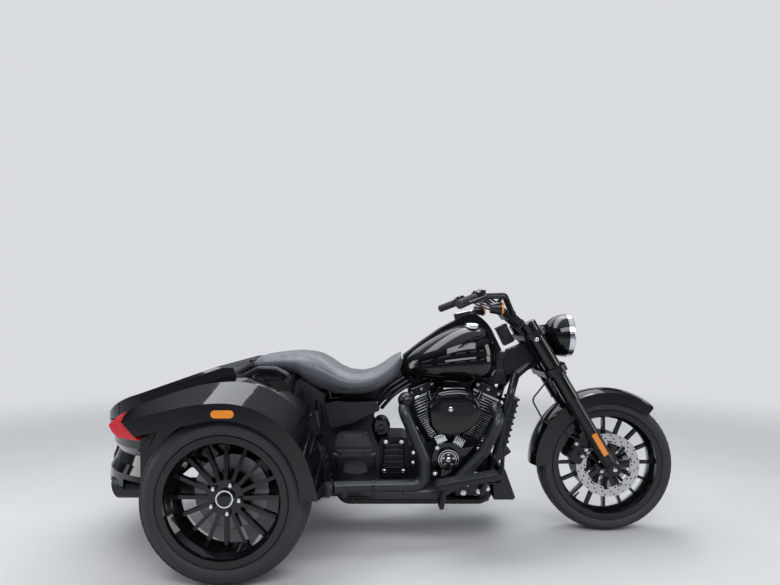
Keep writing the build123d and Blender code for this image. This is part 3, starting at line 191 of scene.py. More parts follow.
# Materials: one per record slot and a few for trim
def material(
    name, low, high, rough, metal=0.0, coat=0.0, scale=40.0, span=0.05,
    grain=None, sheen=0.0, alpha=1.0, specular=0.5,
):
    """A surface whose colour and roughness drift with a fine noise, with an optional grain in relief.
    grain is (kind, scale, depth in metres, strength)."""
    m = bpy.data.materials.new(name)
    m.use_nodes = True
    t = m.node_tree
    b = t.nodes["Principled BSDF"]
    place = t.nodes.new("ShaderNodeTexCoord")
    noise = t.nodes.new("ShaderNodeTexNoise")
    noise.inputs["Scale"].default_value = scale
    noise.inputs["Detail"].default_value = 6
    noise.inputs["Roughness"].default_value = 0.6
    t.links.new(place.outputs["Object"], noise.inputs["Vector"])
    blend = t.nodes.new("ShaderNodeMix")
    blend.data_type = "RGBA"
    blend.inputs[MIX_A].default_value = (*low, 1)
    blend.inputs[MIX_B].default_value = (*high, 1)
    t.links.new(noise.outputs["Fac"], blend.inputs[0])
    t.links.new(blend.outputs[MIX_OUT], b.inputs["Base Color"])
    spread = t.nodes.new("ShaderNodeMapRange")
    spread.inputs[1].default_value = 0.3
    spread.inputs[2].default_value = 0.7
    spread.inputs[3].default_value = max(0.02, rough - span)
    spread.inputs[4].default_value = rough + span
    t.links.new(noise.outputs["Fac"], spread.inputs[0])
    t.links.new(spread.outputs[0], b.inputs["Roughness"])
    b.inputs["Metallic"].default_value = metal
    b.inputs["Coat Weight"].default_value = coat
    b.inputs["Coat Roughness"].default_value = 0.03
    b.inputs["Sheen Weight"].default_value = sheen
    b.inputs["Alpha"].default_value = alpha
    b.inputs["Specular IOR Level"].default_value = specular
    if grain:
        kind, grain_scale, depth, strength = grain
        tex = t.nodes.new("ShaderNodeTexVoronoi" if kind == "cells" else "ShaderNodeTexNoise")
        tex.inputs["Scale"].default_value = grain_scale
        t.links.new(place.outputs["Object"], tex.inputs["Vector"])
        bump = t.nodes.new("ShaderNodeBump")
        bump.inputs["Strength"].default_value = strength
        bump.inputs["Distance"].default_value = depth
        t.links.new(tex.outputs["Distance" if kind == "cells" else "Fac"], bump.inputs["Height"])
        t.links.new(bump.outputs[0], b.inputs["Normal"])
    return m


LOOKS = {
    "tyre": dict(
        low=(0.014, 0.016, 0.019), high=(0.030, 0.032, 0.036), rough=0.56,
        scale=90, grain=("noise", 700, 0.0004, 0.35), specular=0.35,
    ),
    "gloss_black": dict(
        low=(0.0015, 0.0015, 0.002), high=(0.004, 0.004, 0.005), rough=0.1,
        coat=0.75, scale=9, grain=("noise", 900, 0.00003, 0.04), specular=0.1,
    ),
    "wheel_black": dict(
        low=(0.002, 0.002, 0.003), high=(0.006, 0.006, 0.007), rough=0.16,
        coat=0.7, scale=30, grain=("noise", 600, 0.00005, 0.06), specular=0.15,
    ),
    "satin_black": dict(
        low=(0.003, 0.004, 0.006), high=(0.009, 0.010, 0.012), rough=0.28,
        scale=60, grain=("noise", 420, 0.0001, 0.05), specular=0.4,
    ),
    "matte_black": dict(
        low=(0.009, 0.012, 0.017), high=(0.018, 0.022, 0.028), rough=0.38,
        scale=30, grain=("noise", 500, 0.0001, 0.08), specular=0.45,
    ),
    "cast_black": dict(
        low=(0.002, 0.003, 0.005), high=(0.006, 0.007, 0.009), rough=0.36,
        scale=50, grain=("noise", 500, 0.0004, 0.3), specular=0.22,
    ),
    "chrome": dict(
        low=(0.62, 0.64, 0.67), high=(0.76, 0.78, 0.80), rough=0.08,
        metal=1.0, scale=20, span=0.03,
    ),
    "rotor_steel": dict(
        low=(0.50, 0.50, 0.50), high=(0.70, 0.69, 0.68), rough=0.38,
        metal=1.0, scale=120, grain=("noise", 1500, 0.00005, 0.2),
    ),
    "rubber": dict(
        low=(0.012, 0.014, 0.018), high=(0.024, 0.027, 0.032), rough=0.5,
        scale=80, grain=("noise", 900, 0.0002, 0.3), specular=0.4,
    ),
    "vinyl": dict(
        low=(0.062, 0.067, 0.077), high=(0.086, 0.092, 0.104), rough=0.40,
        scale=14, grain=("cells", 420, 0.0005, 0.25), sheen=0.12,
    ),
    "black_plastic": dict(
        low=(0.005, 0.006, 0.009), high=(0.013, 0.015, 0.019), rough=0.40,
        scale=60, grain=("noise", 600, 0.0001, 0.12), specular=0.35,
    ),
    "clear_lens": dict(
        low=(0.92, 0.94, 0.95), high=(0.98, 0.98, 0.98), rough=0.05,
        scale=10, span=0.02, alpha=0.22,
    ),
    "red_lens": dict(
        low=(0.42, 0.006, 0.012), high=(0.60, 0.016, 0.026), rough=0.16,
        coat=0.8, scale=60,
    ),
    "amber_lens": dict(
        low=(0.62, 0.17, 0.006), high=(0.78, 0.25, 0.015), rough=0.2,
        coat=0.6, scale=60,
    ),
}
MATS = {name: material(name, **look) for name, look in LOOKS.items()}
FIN_EDGE = material("fin_edge", (0.45, 0.46, 0.47), (0.62, 0.63, 0.64), 0.28, metal=1.0, scale=80)
# A steel darker than the rotor's own: painted shade for the rear discs, which sit in the wheel's
# shadow
SHADED_DISC_STEEL = material(
    "shaded_disc_steel", (0.20, 0.20, 0.21), (0.32, 0.32, 0.33), 0.42, metal=1.0, scale=120,
)
MARKS = material("gauge_marks", (0.75, 0.76, 0.76), (0.85, 0.85, 0.84), 0.4, scale=200)
# A lighter red for the tail lamps' ribs: a painted highlight along them
RED_RIB_HIGHLIGHT = material("red_rib_highlight", (0.80, 0.12, 0.12), (0.90, 0.20, 0.18), 0.2, coat=1.0, scale=60)

slot_of = {part["node"]: part["material_slot"] for part in frame["record"]["subparts"]}
for name, node in frame["nodes"].items():
    node.data.materials.clear()
    node.data.materials.append(MATS[slot_of[name]])


class Piece:
    """A piece that collects its forms in one mesh and then becomes one object on a body."""

    def __init__(self, name, material_slot, body, mat=None):
        self.name, self.slot, self.body = name, material_slot, body
        self.mat = mat or MATS[material_slot]
        self.bm = bmesh.new()

    def grid(self, rows, close_rows=False, close_ring=True):
        """Joins rows of points into a skin."""
        rings = [[self.bm.verts.new(p) for p in row] for row in rows]
        count = len(rings)
        for i in range(count if close_rows else count - 1):
            a, b = rings[i], rings[(i + 1) % count]
            n = len(a)
            for j in range(n if close_ring else n - 1):
                k = (j + 1) % n
                self.bm.faces.new((a[j], a[k], b[k], b[j]))
        return rings

    def caps(self, rings):
        """Closes both ends of a skin."""
        self.bm.faces.new(rings[0])
        self.bm.faces.new(rings[-1])

    def lathe(self, origin, axis, profile, seg=32, capped=True):
        """Turns (radius, distance along axis) pairs about an axis."""
        turn = Vector(axis).normalized().to_track_quat("Z", "Y").to_matrix()
        rings = self.grid([
            [Vector(origin) + turn @ Vector((r * cos(a), r * sin(a), h)) for a in angles(seg)]
            for r, h in profile
        ])
        if capped:
            self.caps(rings)

    def bolt(self, at, axis, r=0.006, tall=0.005):
        """A hexagon head on a washer."""
        self.lathe(at, axis, [(r * 1.35, 0), (r * 1.35, tall * 0.2), (r * 1.0, tall * 0.25)], 16)
        self.lathe(at, axis, [(r, tall * 0.2), (r, tall * 0.85), (r * 0.8, tall)], 6)

    def tube(self, points, radius, seg=12):
        """A round tube through a smooth line of points."""
        line = smooth_line(points)
        rows = []
        up = Vector((0.03, 0.05, 1)).normalized()
        for i, p in enumerate(line):
            ahead = (line[min(i + 1, len(line) - 1)] - line[max(i - 1, 0)]).normalized()
            side = ahead.cross(up)
            if side.length < 0.05:
                side = ahead.cross(Vector((1, 0, 0)))
            side.normalize()
            over = side.cross(ahead)
            rows.append([p + side * radius * cos(a) + over * radius * sin(a) for a in angles(seg)])
        self.caps(self.grid(rows))

    def block(self, centre, size, turn=None, bevel=0.002, steps=2):
        """A box with rounded edges."""
        made = bmesh.ops.create_cube(self.bm, size=1.0)["verts"]
        turned = turn.to_4x4() if turn else Matrix.Identity(4)
        placed = Matrix.Translation(Vector(centre)) @ turned @ Matrix.Diagonal((*size, 1))
        bmesh.ops.transform(self.bm, matrix=placed, verts=made)
        if bevel:
            edges = list({e for v in made for e in v.link_edges})
            bmesh.ops.bevel(
                self.bm, geom=edges, offset=bevel, segments=steps, profile=0.6, affect="EDGES",
            )

    def mirrored(self):
        """Adds the left side's copy."""
        everything = self.bm.verts[:] + self.bm.edges[:] + self.bm.faces[:]
        copy = bmesh.ops.duplicate(self.bm, geom=everything)["geom"]
        verts = [g for g in copy if isinstance(g, bmesh.types.BMVert)]
        faces = [g for g in copy if isinstance(g, bmesh.types.BMFace)]
        for v in verts:
            v.co.y = -v.co.y
        bmesh.ops.reverse_faces(self.bm, faces=faces)

    def done(self, angle=35, replaces=()):
        bmesh.ops.recalc_face_normals(self.bm, faces=self.bm.faces[:])
        mesh = bpy.data.meshes.new(self.name)
        self.bm.to_mesh(mesh)
        self.bm.free()
        obj = bpy.data.objects.new(self.name, mesh)
        bpy.context.scene.collection.objects.link(obj)
        mesh.materials.append(self.mat)
        for poly in mesh.polygons:
            poly.use_smooth = True
        mesh.set_sharp_from_angle(angle=radians(angle))
        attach(obj, self.body)
        if replaces:
            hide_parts(*replaces)
        return obj


def smooth_line(points, steps=6):
    """Points along a Catmull-Rom line through the given ones."""
    pts = [Vector(p) for p in points]
    if len(pts) == 2:
        return pts
    line = []
    for i in range(len(pts) - 1):
        a, b, c, d = pts[max(i - 1, 0)], pts[i], pts[i + 1], pts[min(i + 2, len(pts) - 1)]
        line += [catmull(a, b, c, d, k / steps) for k in range(steps)]
    line.append(pts[-1])
    return line


# Tyres: a grooved carcass with raised tread blocks
TYRE_SIDES = 120
GROOVE_DEEP = 0.0045
BLOCK_SINK = 0.003
SHOULDER_DROP = 0.007
EDGE_DROP = 0.012
BLOCK_TAPER = 0.05


def tyre_piece(
    name, body, node, centre, outer, bead_r, half_section, half_bead, half_tread, ribs, pitches, slant,
):
    """A tyre in metres. Ribs are rows of tread blocks: inner edge, outer edge, shift and width in
    pitches."""
    piece = Piece(name, "tyre", body)
    base = outer - GROOVE_DEEP
    section = [
        (bead_r, half_bead - 0.012), (bead_r, half_bead), (bead_r + 0.019, half_bead),
        (bead_r + 0.024, half_bead + (half_section - half_bead) * 0.55),
        (bead_r + 0.027, half_bead + (half_section - half_bead) * 0.5),
        (bead_r + 0.036, half_section - 0.0015), (bead_r + 0.046, half_section),
        (bead_r + 0.056, half_section - 0.001), (bead_r + 0.058, half_section - 0.0022),
        (base - 0.016, half_tread + 0.006), (base - 0.006, half_tread - 0.001),
        (base - 0.001, half_tread - 0.012),
    ]
    profile = section + [(base, 0)] + [(r, -y) for r, y in reversed(section)]
    around = angles(TYRE_SIDES)
    rows = [[centre + Vector((r * cos(a), y, r * sin(a))) for a in around] for r, y in profile]
    piece.grid(rows, close_rows=True)
    for pitch in range(pitches):
        for lo, hi, shift, width in ribs:
            for s in (1, -1):
                angle = 2 * pi * (pitch + shift * s * 0.5) / pitches
                span = 2 * pi / pitches * width
                corners = []
                for shrink, r_add in ((0, -BLOCK_SINK), (BLOCK_TAPER, 0.0)):
                    for y, a in ((lo, 0), (hi, 0), (hi, 1), (lo, 1)):
                        drop = (y / half_tread) ** 4 * SHOULDER_DROP if y < half_tread else EDGE_DROP
                        r = outer - 0.0002 - drop + r_add
                        t = angle + span * (a * (1 - 2 * shrink) + shrink)
                        t += slant * (y / half_tread) * s
                        corner = centre + Vector((r * cos(t), s * y, r * sin(t)))
                        corners.append(piece.bm.verts.new(corner))
                piece.bm.faces.new(corners[4:])
                for a, b in ((0, 1), (1, 2), (2, 3), (3, 0)):
                    piece.bm.faces.new((corners[a], corners[b], corners[b + 4], corners[a + 4]))
    piece.done(replaces=(node,), angle=40)


REAR_RIBS = [
    (0.0, 0.014, 0.0, 0.97), (0.019, 0.040, 0.3, 0.86),
    (0.045, 0.066, 0.6, 0.84), (0.071, 0.094, 0.1, 0.78),
]
FRONT_RIBS = [(0.0, 0.010, 0.0, 0.97), (0.013, 0.030, 0.4, 0.80), (0.033, 0.052, 0.1, 0.76)]
for hand, s in (("right", -1), ("left", 1)):
    tyre_piece(
        f"rear_tread_{hand}", f"rear_wheel_{hand}", f"rear_tyre_{hand}", P(0, HALF_TRACK * s, REAR_R),
        REAR_R / 1000, 0.231, 0.1075, 0.094, 0.090, REAR_RIBS, 66, 0.03,
    )
tyre_piece(
    "front_tread", "front_wheel", "front_tyre", P(WHEELBASE, 0, FRONT_R),
    FRONT_R / 1000, 0.241, 0.065, 0.052, 0.050, FRONT_RIBS, 60, 0.04,
)

# Seat: a sewn vinyl pad with a dished rider's place and a rear pad
SQUARENESS = 0.62
# Columns: distance ahead of the rear axle, half width, top height, bottom height, dish of the top
SEAT = (
    (-6, 118, 806, 776, 0),
    (8, 138, 826, 774, 0),
    (40, 152, 840, 773, 1),
    (90, 160, 849, 773, 2),
    (150, 165, 856, 773, 2),
    (205, 170, 859, 756, 2),
    (250, 175, 857, 716, 3),
    (300, 181, 847, 690, 4),
    (345, 186, 824, 676, 6),
    (390, 189, 792, 668, 8),
    (440, 190, 770, 664, 9),
    (500, 188, 764, 666, 9),
    (555, 178, 776, 678, 8),
    (605, 158, 804, 700, 6),
    (645, 132, 838, 728, 4),
    (672, 108, 860, 762, 2),
    (684, 88, 864, 790, 1),
)


def seat_ring(x, half, top, bottom, dish):
    """One cross-section of the seat: flat below, pulled in at the hem, full at the shoulder."""
    ring = []
    tall = top - bottom
    for a in angles(44):
        c, s = cos(a), sin(a)
        y = half * (abs(c) ** SQUARENESS) * (1 if c > 0 else -1)
        z = bottom + tall * (0.5 + 0.5 * (abs(s) ** SQUARENESS) * (1 if s > 0 else -1))
        if s < 0:
            y *= 1 - 0.16 * (abs(s) ** 1.5)
        else:
            z -= dish * (1 - min(1, abs(y) / half) ** 2) * s
            z -= 0.14 * tall * (abs(y) / half) ** 3 * (abs(s) ** 0.5)
        ring.append(P(x, y, z))
    return ring


seat = Piece("seat_pad", "vinyl", "frame")
seat.caps(seat.grid([seat_ring(*row) for row in SEAT]))
seat_obj = seat.done(angle=80, replaces=("seat",))
CLOTH_FRAMES = 20
CLOTH_STIFFNESS = 20


def evaluated(obj):
    """A mesh of an object as its modifiers leave it."""
    return bpy.data.meshes.new_from_object(obj.evaluated_get(bpy.context.evaluated_depsgraph_get()))


def puff(obj, voxel, pressure, cap):
    """Remeshes a closed pad, blows it up a little as cloth and holds the move to a cap."""
    remesh = obj.modifiers.new("remesh", "REMESH")
    remesh.mode = "VOXEL"
    remesh.voxel_size = voxel
    remesh.use_smooth_shade = True
    even_mesh = evaluated(obj)
    obj.modifiers.clear()
    obj.data = even_mesh
    start = [v.co.copy() for v in even_mesh.vertices]
    cloth = obj.modifiers.new("cloth", "CLOTH")
    cloth.settings.use_pressure = True
    cloth.settings.uniform_pressure_force = pressure
    cloth.settings.effector_weights.gravity = 0
    cloth.settings.quality = 5
    cloth.settings.tension_stiffness = CLOTH_STIFFNESS
    cloth.settings.compression_stiffness = CLOTH_STIFFNESS
    cloth.point_cache.frame_start = 1
    cloth.point_cache.frame_end = CLOTH_FRAMES
    for step in range(CLOTH_FRAMES):
        bpy.context.scene.frame_set(step + 1)
    blown = evaluated(obj)
    obj.modifiers.clear()
    for v, p in zip(blown.vertices, start):
        move = v.co - p
        if move.length > cap:
            v.co = p + move * (cap / move.length)
    obj.data = blown
    bpy.context.scene.frame_set(1)
    for poly in obj.data.polygons:
        poly.use_smooth = True
    obj.data.materials.clear()
    obj.data.materials.append(MATS["vinyl"])
    soft = obj.modifiers.new("soften", "SUBSURF")
    soft.levels = soft.render_levels = 1


puff(seat_obj, 0.007, 4, 0.007)


def hit_on(obj, start, way):
    """The point and outward direction where a line first meets a surface."""
    tree = BVHTree.FromObject(obj, bpy.context.evaluated_depsgraph_get())
    back = obj.matrix_world.inverted()
    at, slope, _, _ = tree.ray_cast(back @ start, (back.to_3x3() @ Vector(way)).normalized())
    if at is None:
        return None, None
    return obj.matrix_world @ at, (obj.matrix_world.to_3x3() @ slope).normalized()


# Seat seams: fine welts that lie on the finished skin
seams = Piece("seat_seams", "vinyl", "frame")
SEAM_R = 0.0017
SEAM_SINK = 0.0004
# Rows of points in side view: distance ahead of the rear axle, height
SIDE_SEAMS = (
    ((96, 800), (140, 780), (190, 768), (240, 764), (272, 770), (281, 800), (279, 822)),
    ((455, 744), (490, 722), (528, 700), (560, 684)),
)


def seam(starts, way):
    """A welt through the points where lines from the starts meet the seat."""
    hits = [hit_on(seat_obj, start, way) for start in starts]
    seams.tube([at - slope * SEAM_SINK for at, slope in hits if at], SEAM_R, 8)


for line in SIDE_SEAMS:
    for s in SIDES:
        seam([P(x, 400 * s, z) for x, z in line], (0, -s, 0))
seam([P(281, -135 + 15 * k, 1200) for k in range(19)], DOWN)
seams.done()

# Engine trim
CRANK = (938.0, 330.0)
DECK = 148.0
LEANS = (23.5, -24.5)
FINS, FIN_PITCH = 12, 11
HEAD_START = 280
HEAD_FINS, HEAD_PITCH = 5, 13
ROCKER_START = 350.0
CAM = (897, 379)
CAM_FACE = -212.5


def out_of_crank(lean, distance, inward=0.0, y=0.0):
    """A point beside a cylinder's axis, a distance out from the crank and inward to the V."""
    s, c = sin(radians(lean)), cos(radians(lean))
    across = inward if lean > 0 else -inward
    return P(CRANK[0] - s * distance + c * across, y, CRANK[1] + c * distance + s * across)


fins = Piece("fin_edges", "rotor_steel", "frame", FIN_EDGE)
for lean in LEANS:
    turn = pitched(radians(lean))
    for row in range(FINS):
        up = DECK + 5 + row * FIN_PITCH
        outer = 84 + 1.6 * row
        inner = min(outer - 14, up * tan(radians(24)) - 5)
        for y in (-79.3, 79.3):
            if outer + inner > 64:
                size = ((outer + inner - 60) / 1000, 0.0012, 0.0034)
                at = out_of_crank(lean, up + 2, (inner - outer) / 2, y)
                fins.block(at, size, turn, bevel=0.0004, steps=1)
        edge = out_of_crank(lean, up + 2, -outer - 0.3, 0)
        fins.block(edge, (0.0012, 0.096, 0.0034), turn, bevel=0.0004, steps=1)
    for row in range(HEAD_FINS):
        up = HEAD_START + 8 + row * HEAD_PITCH
        for y in (-87.3, 87.3):
            at = out_of_crank(lean, up + 3, -8, y)
            fins.block(at, (0.112, 0.0012, 0.0042), turn, bevel=0.0004, steps=1)
fins.done()

bright = Piece("engine_bright", "chrome", "frame")
for at, lean in (((867, -150, 462), 27), ((947, -150, 450), -29)):
    tilt = pitched(radians(lean))
    bright.block(P(*at), (0.050, 0.046, 0.034), tilt, bevel=0.004)
    for k in range(5):
        rib = P(*at) + tilt @ Vector((-0.020 + 0.010 * k, -0.003, 0.004))
        bright.block(rib, (0.0055, 0.050, 0.040), tilt, bevel=0.0015, steps=1)
# Rows: depth of the cover's face, then the bolts on it in side view
COVER_BOLTS = (
    (-167, ((614, 452), (686, 452), (606, 318), (694, 318))),
    (-118, ((742, 345), (744, 392))),
    (-188.5, ((838, 312), (1025, 312), (1034, 424), (848, 428), (985, 250), (1018, 285))),
)
for y, places in COVER_BOLTS:
    for x, z in places:
        bright.bolt(P(x, y, z), OUT, 0.007, 0.006)


def on_cam(r, a):
    """A point on the cam cover's face at a radius and angle."""
    return P(CAM[0] + r * cos(a), CAM_FACE, CAM[1] + r * sin(a))


cam_at = P(CAM[0], CAM_FACE, CAM[1])
for outer, inner, tall in ((0.036, 0.033, 0.003), (0.0455, 0.0435, 0.0025)):
    bright.lathe(cam_at, OUT, [(outer, 0), (outer, tall), (inner, tall), (inner, 0)], 48, capped=False)
bright.lathe(cam_at, OUT, [(0.011, 0), (0.011, 0.004), (0.008, 0.006), (0.001, 0.0065)], 24)
for a in angles(5, 0.3):
    bright.bolt(on_cam(24, a), OUT, 0.004, 0.004)
for lean in LEANS:
    turn = pitched(radians(lean))
    for s in SIDES:
        strip = out_of_crank(lean, ROCKER_START + 8.3, 0, 88.6 * s)
        bright.block(strip, (0.134, 0.003, 0.012), turn, bevel=0.001, steps=1)
        for inward in (-54, 0, 54):
            for up, share, y in ((38, 1, 80), (-18, 0.8, 66)):
                at = out_of_crank(lean, ROCKER_START + up, inward * share, y * s)
                bright.bolt(at, (0, s, 0), 0.0055, 0.005)
bright.done()

left = Piece("primary_trim", "chrome", "frame")
PRIMARY_BOLTS = (
    (934, 402), (1002, 372), (1010, 312), (952, 272), (844, 262),
    (736, 262), (664, 300), (650, 352), (700, 396), (820, 404),
)
for x, z in PRIMARY_BOLTS:
    at, _ = hit_on(frame["nodes"]["engine_covers"], P(x, 600, z), OUT)
    if at:
        left.bolt(at + Vector((0, -0.0004, 0)), (0, 1, 0), 0.0055, 0.00495)
left.done()
dark = Piece("engine_dark", "gloss_black", "frame")
for a in angles(24):
    dark.block(on_cam(43.5, a), (0.0045, 0.004, 0.007), pitched(a - pi / 2), bevel=0.001, steps=1)
# Push rod tubes, from foot to head in side view
ROD_TUBES = ((862, 478, 814, 672), (882, 474, 846, 664), (936, 468, 1032, 664), (958, 462, 1064, 672))
for x0, z0, x1, z1 in ROD_TUBES:
    dark.tube([P(x0, -152, z0), P(x1, -92, z1)], 0.010, 16)
    ahead = (x1 - x0, 60, z1 - z0)
    dark.lathe(P(x0, -152, z0), ahead, [(0.014, 0), (0.014, 0.012), (0.011, 0.016)], 16)
for z in (306, 334, 362, 390, 418):
    dark.block(P(650, -169, z), (0.084, 0.009, 0.012), bevel=0.003)
PLUG = ((0.009, -0.006), (0.010, 0.004), (0.0085, 0.016), (0.0065, 0.022), (0.001, 0.023))
for lean in LEANS:
    for s in SIDES:
        dark.lathe(out_of_crank(lean, 318, 34, 84 * s), (0, s, 0.25), PLUG, 20)
dark.done()

# The air cleaner's outline in side view
CLEANER = (
    (801, 612), (830, 664), (862, 694), (968, 698), (1030, 646),
    (1034, 580), (1003, 532), (944, 498), (870, 498), (814, 536),
)


def slot_ring(x, z, long, tall, y, count=16):
    """Points round an oblong with round ends, seen from the side."""
    ring = []
    for s in (1, -1):
        for j in range(count + 1):
            a = -pi / 2 + pi * j / count
            across = (long - tall) / 2 + tall / 2 * cos(a)
            ring.append(P(x + s * across, y, z + s * tall / 2 * sin(a)))
    return ring


def cleaner_ring(grow, y):
    """The air cleaner's smooth outline, grown about its middle."""
    ring = []
    for i in range(len(CLEANER)):
        corners = [Vector(CLEANER[(i + k - 1) % len(CLEANER)]) for k in range(4)]
        for j in range(6):
            q = catmull(*corners, j / 6)
            ring.append(P(920 + (q.x - 920) * grow, y, 598 + (q.y - 598) * grow))
    return ring


cover = Piece("air_cleaner_trim", "gloss_black", "frame")
# Rows: size of the outline, depth
DISH = (
    (1.004, -206), (1.012, -214), (1.012, -238), (1.000, -250), (0.972, -262),
    (0.93, -269), (0.86, -273.2), (0.70, -275.6), (0.40, -276.6),
)
rings = cover.grid([cleaner_ring(grow, y) for grow, y in DISH])
cover.bm.faces.new(rings[-1])
# Rows: height of the oblong, depth
OBLONG = ((54, -275.0), (54, -279.5), (50, -281.0), (42, -281.0), (39, -278.2))
rings = cover.grid([slot_ring(930, 618, 158 - (54 - tall), tall, y) for tall, y in OBLONG])
cover.bm.faces.new(rings[-1])
cover.done()
centre_bolt = Piece("air_cleaner_bolt", "chrome", "frame")
BOLT_HEAD = ((0.010, 0), (0.010, 0.0045), (0.0075, 0.006), (0.001, 0.0065))
centre_bolt.lathe(P(900, -278, 618), OUT, BOLT_HEAD, 32)
centre_bolt.done()


def plate(piece, outline, y_from, y_to, bevel=0.0):
    """A flat part between two depths with a side view outline."""
    near = [piece.bm.verts.new(P(x, y_from, z)) for x, z in outline]
    far = [piece.bm.verts.new(P(x, y_to, z)) for x, z in outline]
    piece.bm.faces.new(near)
    piece.bm.faces.new(far[::-1])
    n = len(outline)
    edges = []
    for i in range(n):
        face = piece.bm.faces.new((near[i], near[(i + 1) % n], far[(i + 1) % n], far[i]))
        edges += [e for e in face.edges if set(e.verts) <= set(near)]
    if bevel:
        bmesh.ops.bevel(piece.bm, geom=edges, offset=bevel, segments=2, profile=0.6, affect="EDGES")


# Dark parts packed between the frame, the tank and the engine
packed = Piece("battery_and_wiring", "black_plastic", "frame")
BATTERY_BAY = (
    (322, 196), (322, 590), (545, 632), (562, 580), (540, 520), (556, 468), (586, 430), (586, 196),
)
TRAY = ((212, 560), (212, 742), (262, 712), (330, 668), (330, 560))
SPINE_LOOM = (
    (420, 628), (420, 664), (560, 676), (610, 704), (652, 742),
    (690, 790), (706, 780), (650, 690), (600, 640),
)
for s in SIDES:
    plate(packed, BATTERY_BAY, 152 * s, 120 * s, 0.006)
    plate(packed, TRAY, 150 * s, 60 * s, 0.006)
    plate(packed, SPINE_LOOM, 64 * s, 20 * s, 0.004)
# Rows: middle ahead of the rear axle and up, size in metres, rounding
BOXES = (
    (672, 748, (0.060, 0.120, 0.130), 0.012),
    (1158, 812, (0.080, 0.060, 0.090), 0.010),
    (1160, 736, (0.064, 0.060, 0.072), 0.010),
    (820, 716, (0.250, 0.050, 0.060), 0.008),
    (960, 708, (0.150, 0.090, 0.050), 0.008),
    (1080, 712, (0.120, 0.060, 0.050), 0.008),
)
for x, z, size, bevel in BOXES:
    packed.block(P(x, 0, z), size, bevel=bevel)
for x0, z0, x1, z1 in ((560, 620, 700, 738), (575, 604, 716, 722), (592, 590, 730, 706)):
    middle = P((x0 + x1) / 2 - 10, -82, (z0 + z1) / 2 + 8)
    packed.tube([P(x0, -60, z0), middle, P(x1, -66, z1)], 0.009, 10)
packed.done()
under = Piece("board_bracket", "satin_black", "frame")
plate(under, ((930, 214), (930, 286), (1010, 300), (1092, 306), (1092, 214)), -196, -186, 0.003)
under.mirrored()
under.done()
studs = Piece("bracket_bolts", "chrome", "frame")
for x, z in ((984, 268), (1040, 286), (1036, 232), (966, 226), (1078, 246), (1076, 290)):
    studs.bolt(P(x, -196.5, z), OUT, 0.009, 0.008)
studs.done()
dome = Piece("port_shield", "satin_black", "frame")
DOME = (
    (0.036, -0.026), (0.038, -0.010), (0.036, 0.004), (0.028, 0.016), (0.016, 0.023), (0.001, 0.026),
)
dome.lathe(P(704, -205, 655), (-0.25, -0.55, 0.8), DOME, 32)
dome.done()

# A ribbed filter canister beside the gearbox
filter_can = Piece("filter_can", "gloss_black", "frame")
CAN_R = 40.5
CAN = (
    (0.037, 0), (0.0405, 0.002), (0.0405, 0.030), (0.0385, 0.032), (0.0385, 0.034),
    (0.0405, 0.036), (0.0405, 0.042), (0.036, 0.048), (0.029, 0.050), (0.029, 0.047),
    (0.012, 0.046), (0.011, 0.050), (0.001, 0.051),
)
filter_can.lathe(P(592, -112, 520), OUT, CAN, 48)
for a in angles(28):
    rib = P(592 + CAN_R * cos(a), -129, 520 + CAN_R * sin(a))
    filter_can.block(rib, (0.0030, 0.024, 0.0036), pitched(a - pi / 2), bevel=0.0008, steps=1)
filter_can.done()

# Passenger board pads, hinge straps with their screws, and the hangers below
BOARD_PAD = (
    (393, 462), (400, 486), (414, 508), (434, 517), (510, 517), (530, 508), (545, 486), (553, 462),
)
for hand, s in (("right", -1), ("left", 1)):
    board = Piece(f"board_pad_{hand}", "rubber", f"passenger_board_{hand}")
    plate(board, BOARD_PAD, 322.5 * s, 317.8 * s, 0.002)
    board.block(P(478, 320 * s, 444), (0.150, 0.006, 0.016), bevel=0.002)
    board.done()
    pins = Piece(f"board_screws_{hand}", "satin_black", f"passenger_board_{hand}")
    for x, z in ((428, 506), (516, 506)):
        pins.bolt(P(x, 322.3 * s, z), (0, s, 0), 0.0045, 0.003)
    for x in (424, 532):
        pins.block(P(x, 320.5 * s, 432), (0.026, 0.008, 0.018), bevel=0.003)
        pins.bolt(P(x, 324 * s, 432), (0, s, 0), 0.006, 0.004)
    pins.done()
hanger = Piece("board_hangers", "satin_black", "frame")
BLADE = ((428, 350), (436, 398), (524, 398), (536, 350), (508, 340), (456, 340))
plate(hanger, BLADE, -302, -294, 0.002)
hanger.mirrored()
hanger.done()

# Lamp brackets under the tail lamps
brackets = Piece("lamp_brackets", "black_plastic", "frame")
HOOK = ((-240, 600), (-270, 540), (-306, 514), (-318, 520), (-300, 540), (-262, 600))
plate(brackets, HOOK, -655, -640, 0.002)
brackets.mirrored()
brackets.done()

# Filler caps, seated on the tank's skin
caps = Piece("filler_caps", "chrome", "frame")
CAP = (
    (0.036, 0), (0.036, 0.006), (0.034, 0.008), (0.034, 0.012),
    (0.033, 0.015), (0.026, 0.019), (0.014, 0.0215), (0.001, 0.022),
)
for s in SIDES:
    at, slope = hit_on(frame["nodes"]["fuel_tank"], P(1020, 92 * s, 2000), DOWN)
    slope = (slope + Vector((0, 0, 0.8))).normalized()
    caps.lathe(at - slope * 0.004, slope, CAP, 48)
caps.done()

# Clamps on the pipe along the sill
pipe_trim = Piece("exhaust_bands", "satin_black", "frame")
PIPE_Z = 280
BAND_R, BAND_THICK = 0.0275, 0.0022
BAND = ((BAND_R, -0.007), (BAND_R + BAND_THICK, -0.006), (BAND_R + BAND_THICK, 0.006), (BAND_R, 0.007))
for x, y in ((690, -262), (560, -274)):
    pipe_trim.lathe(P(x, y, PIPE_Z), (-1, 0, 0), BAND, 40, capped=False)
    pipe_trim.block(P(x, y - 10, PIPE_Z - BAND_R * 1000 - 6), (0.013, 0.016, 0.016), bevel=0.002)
pipe_trim.done()

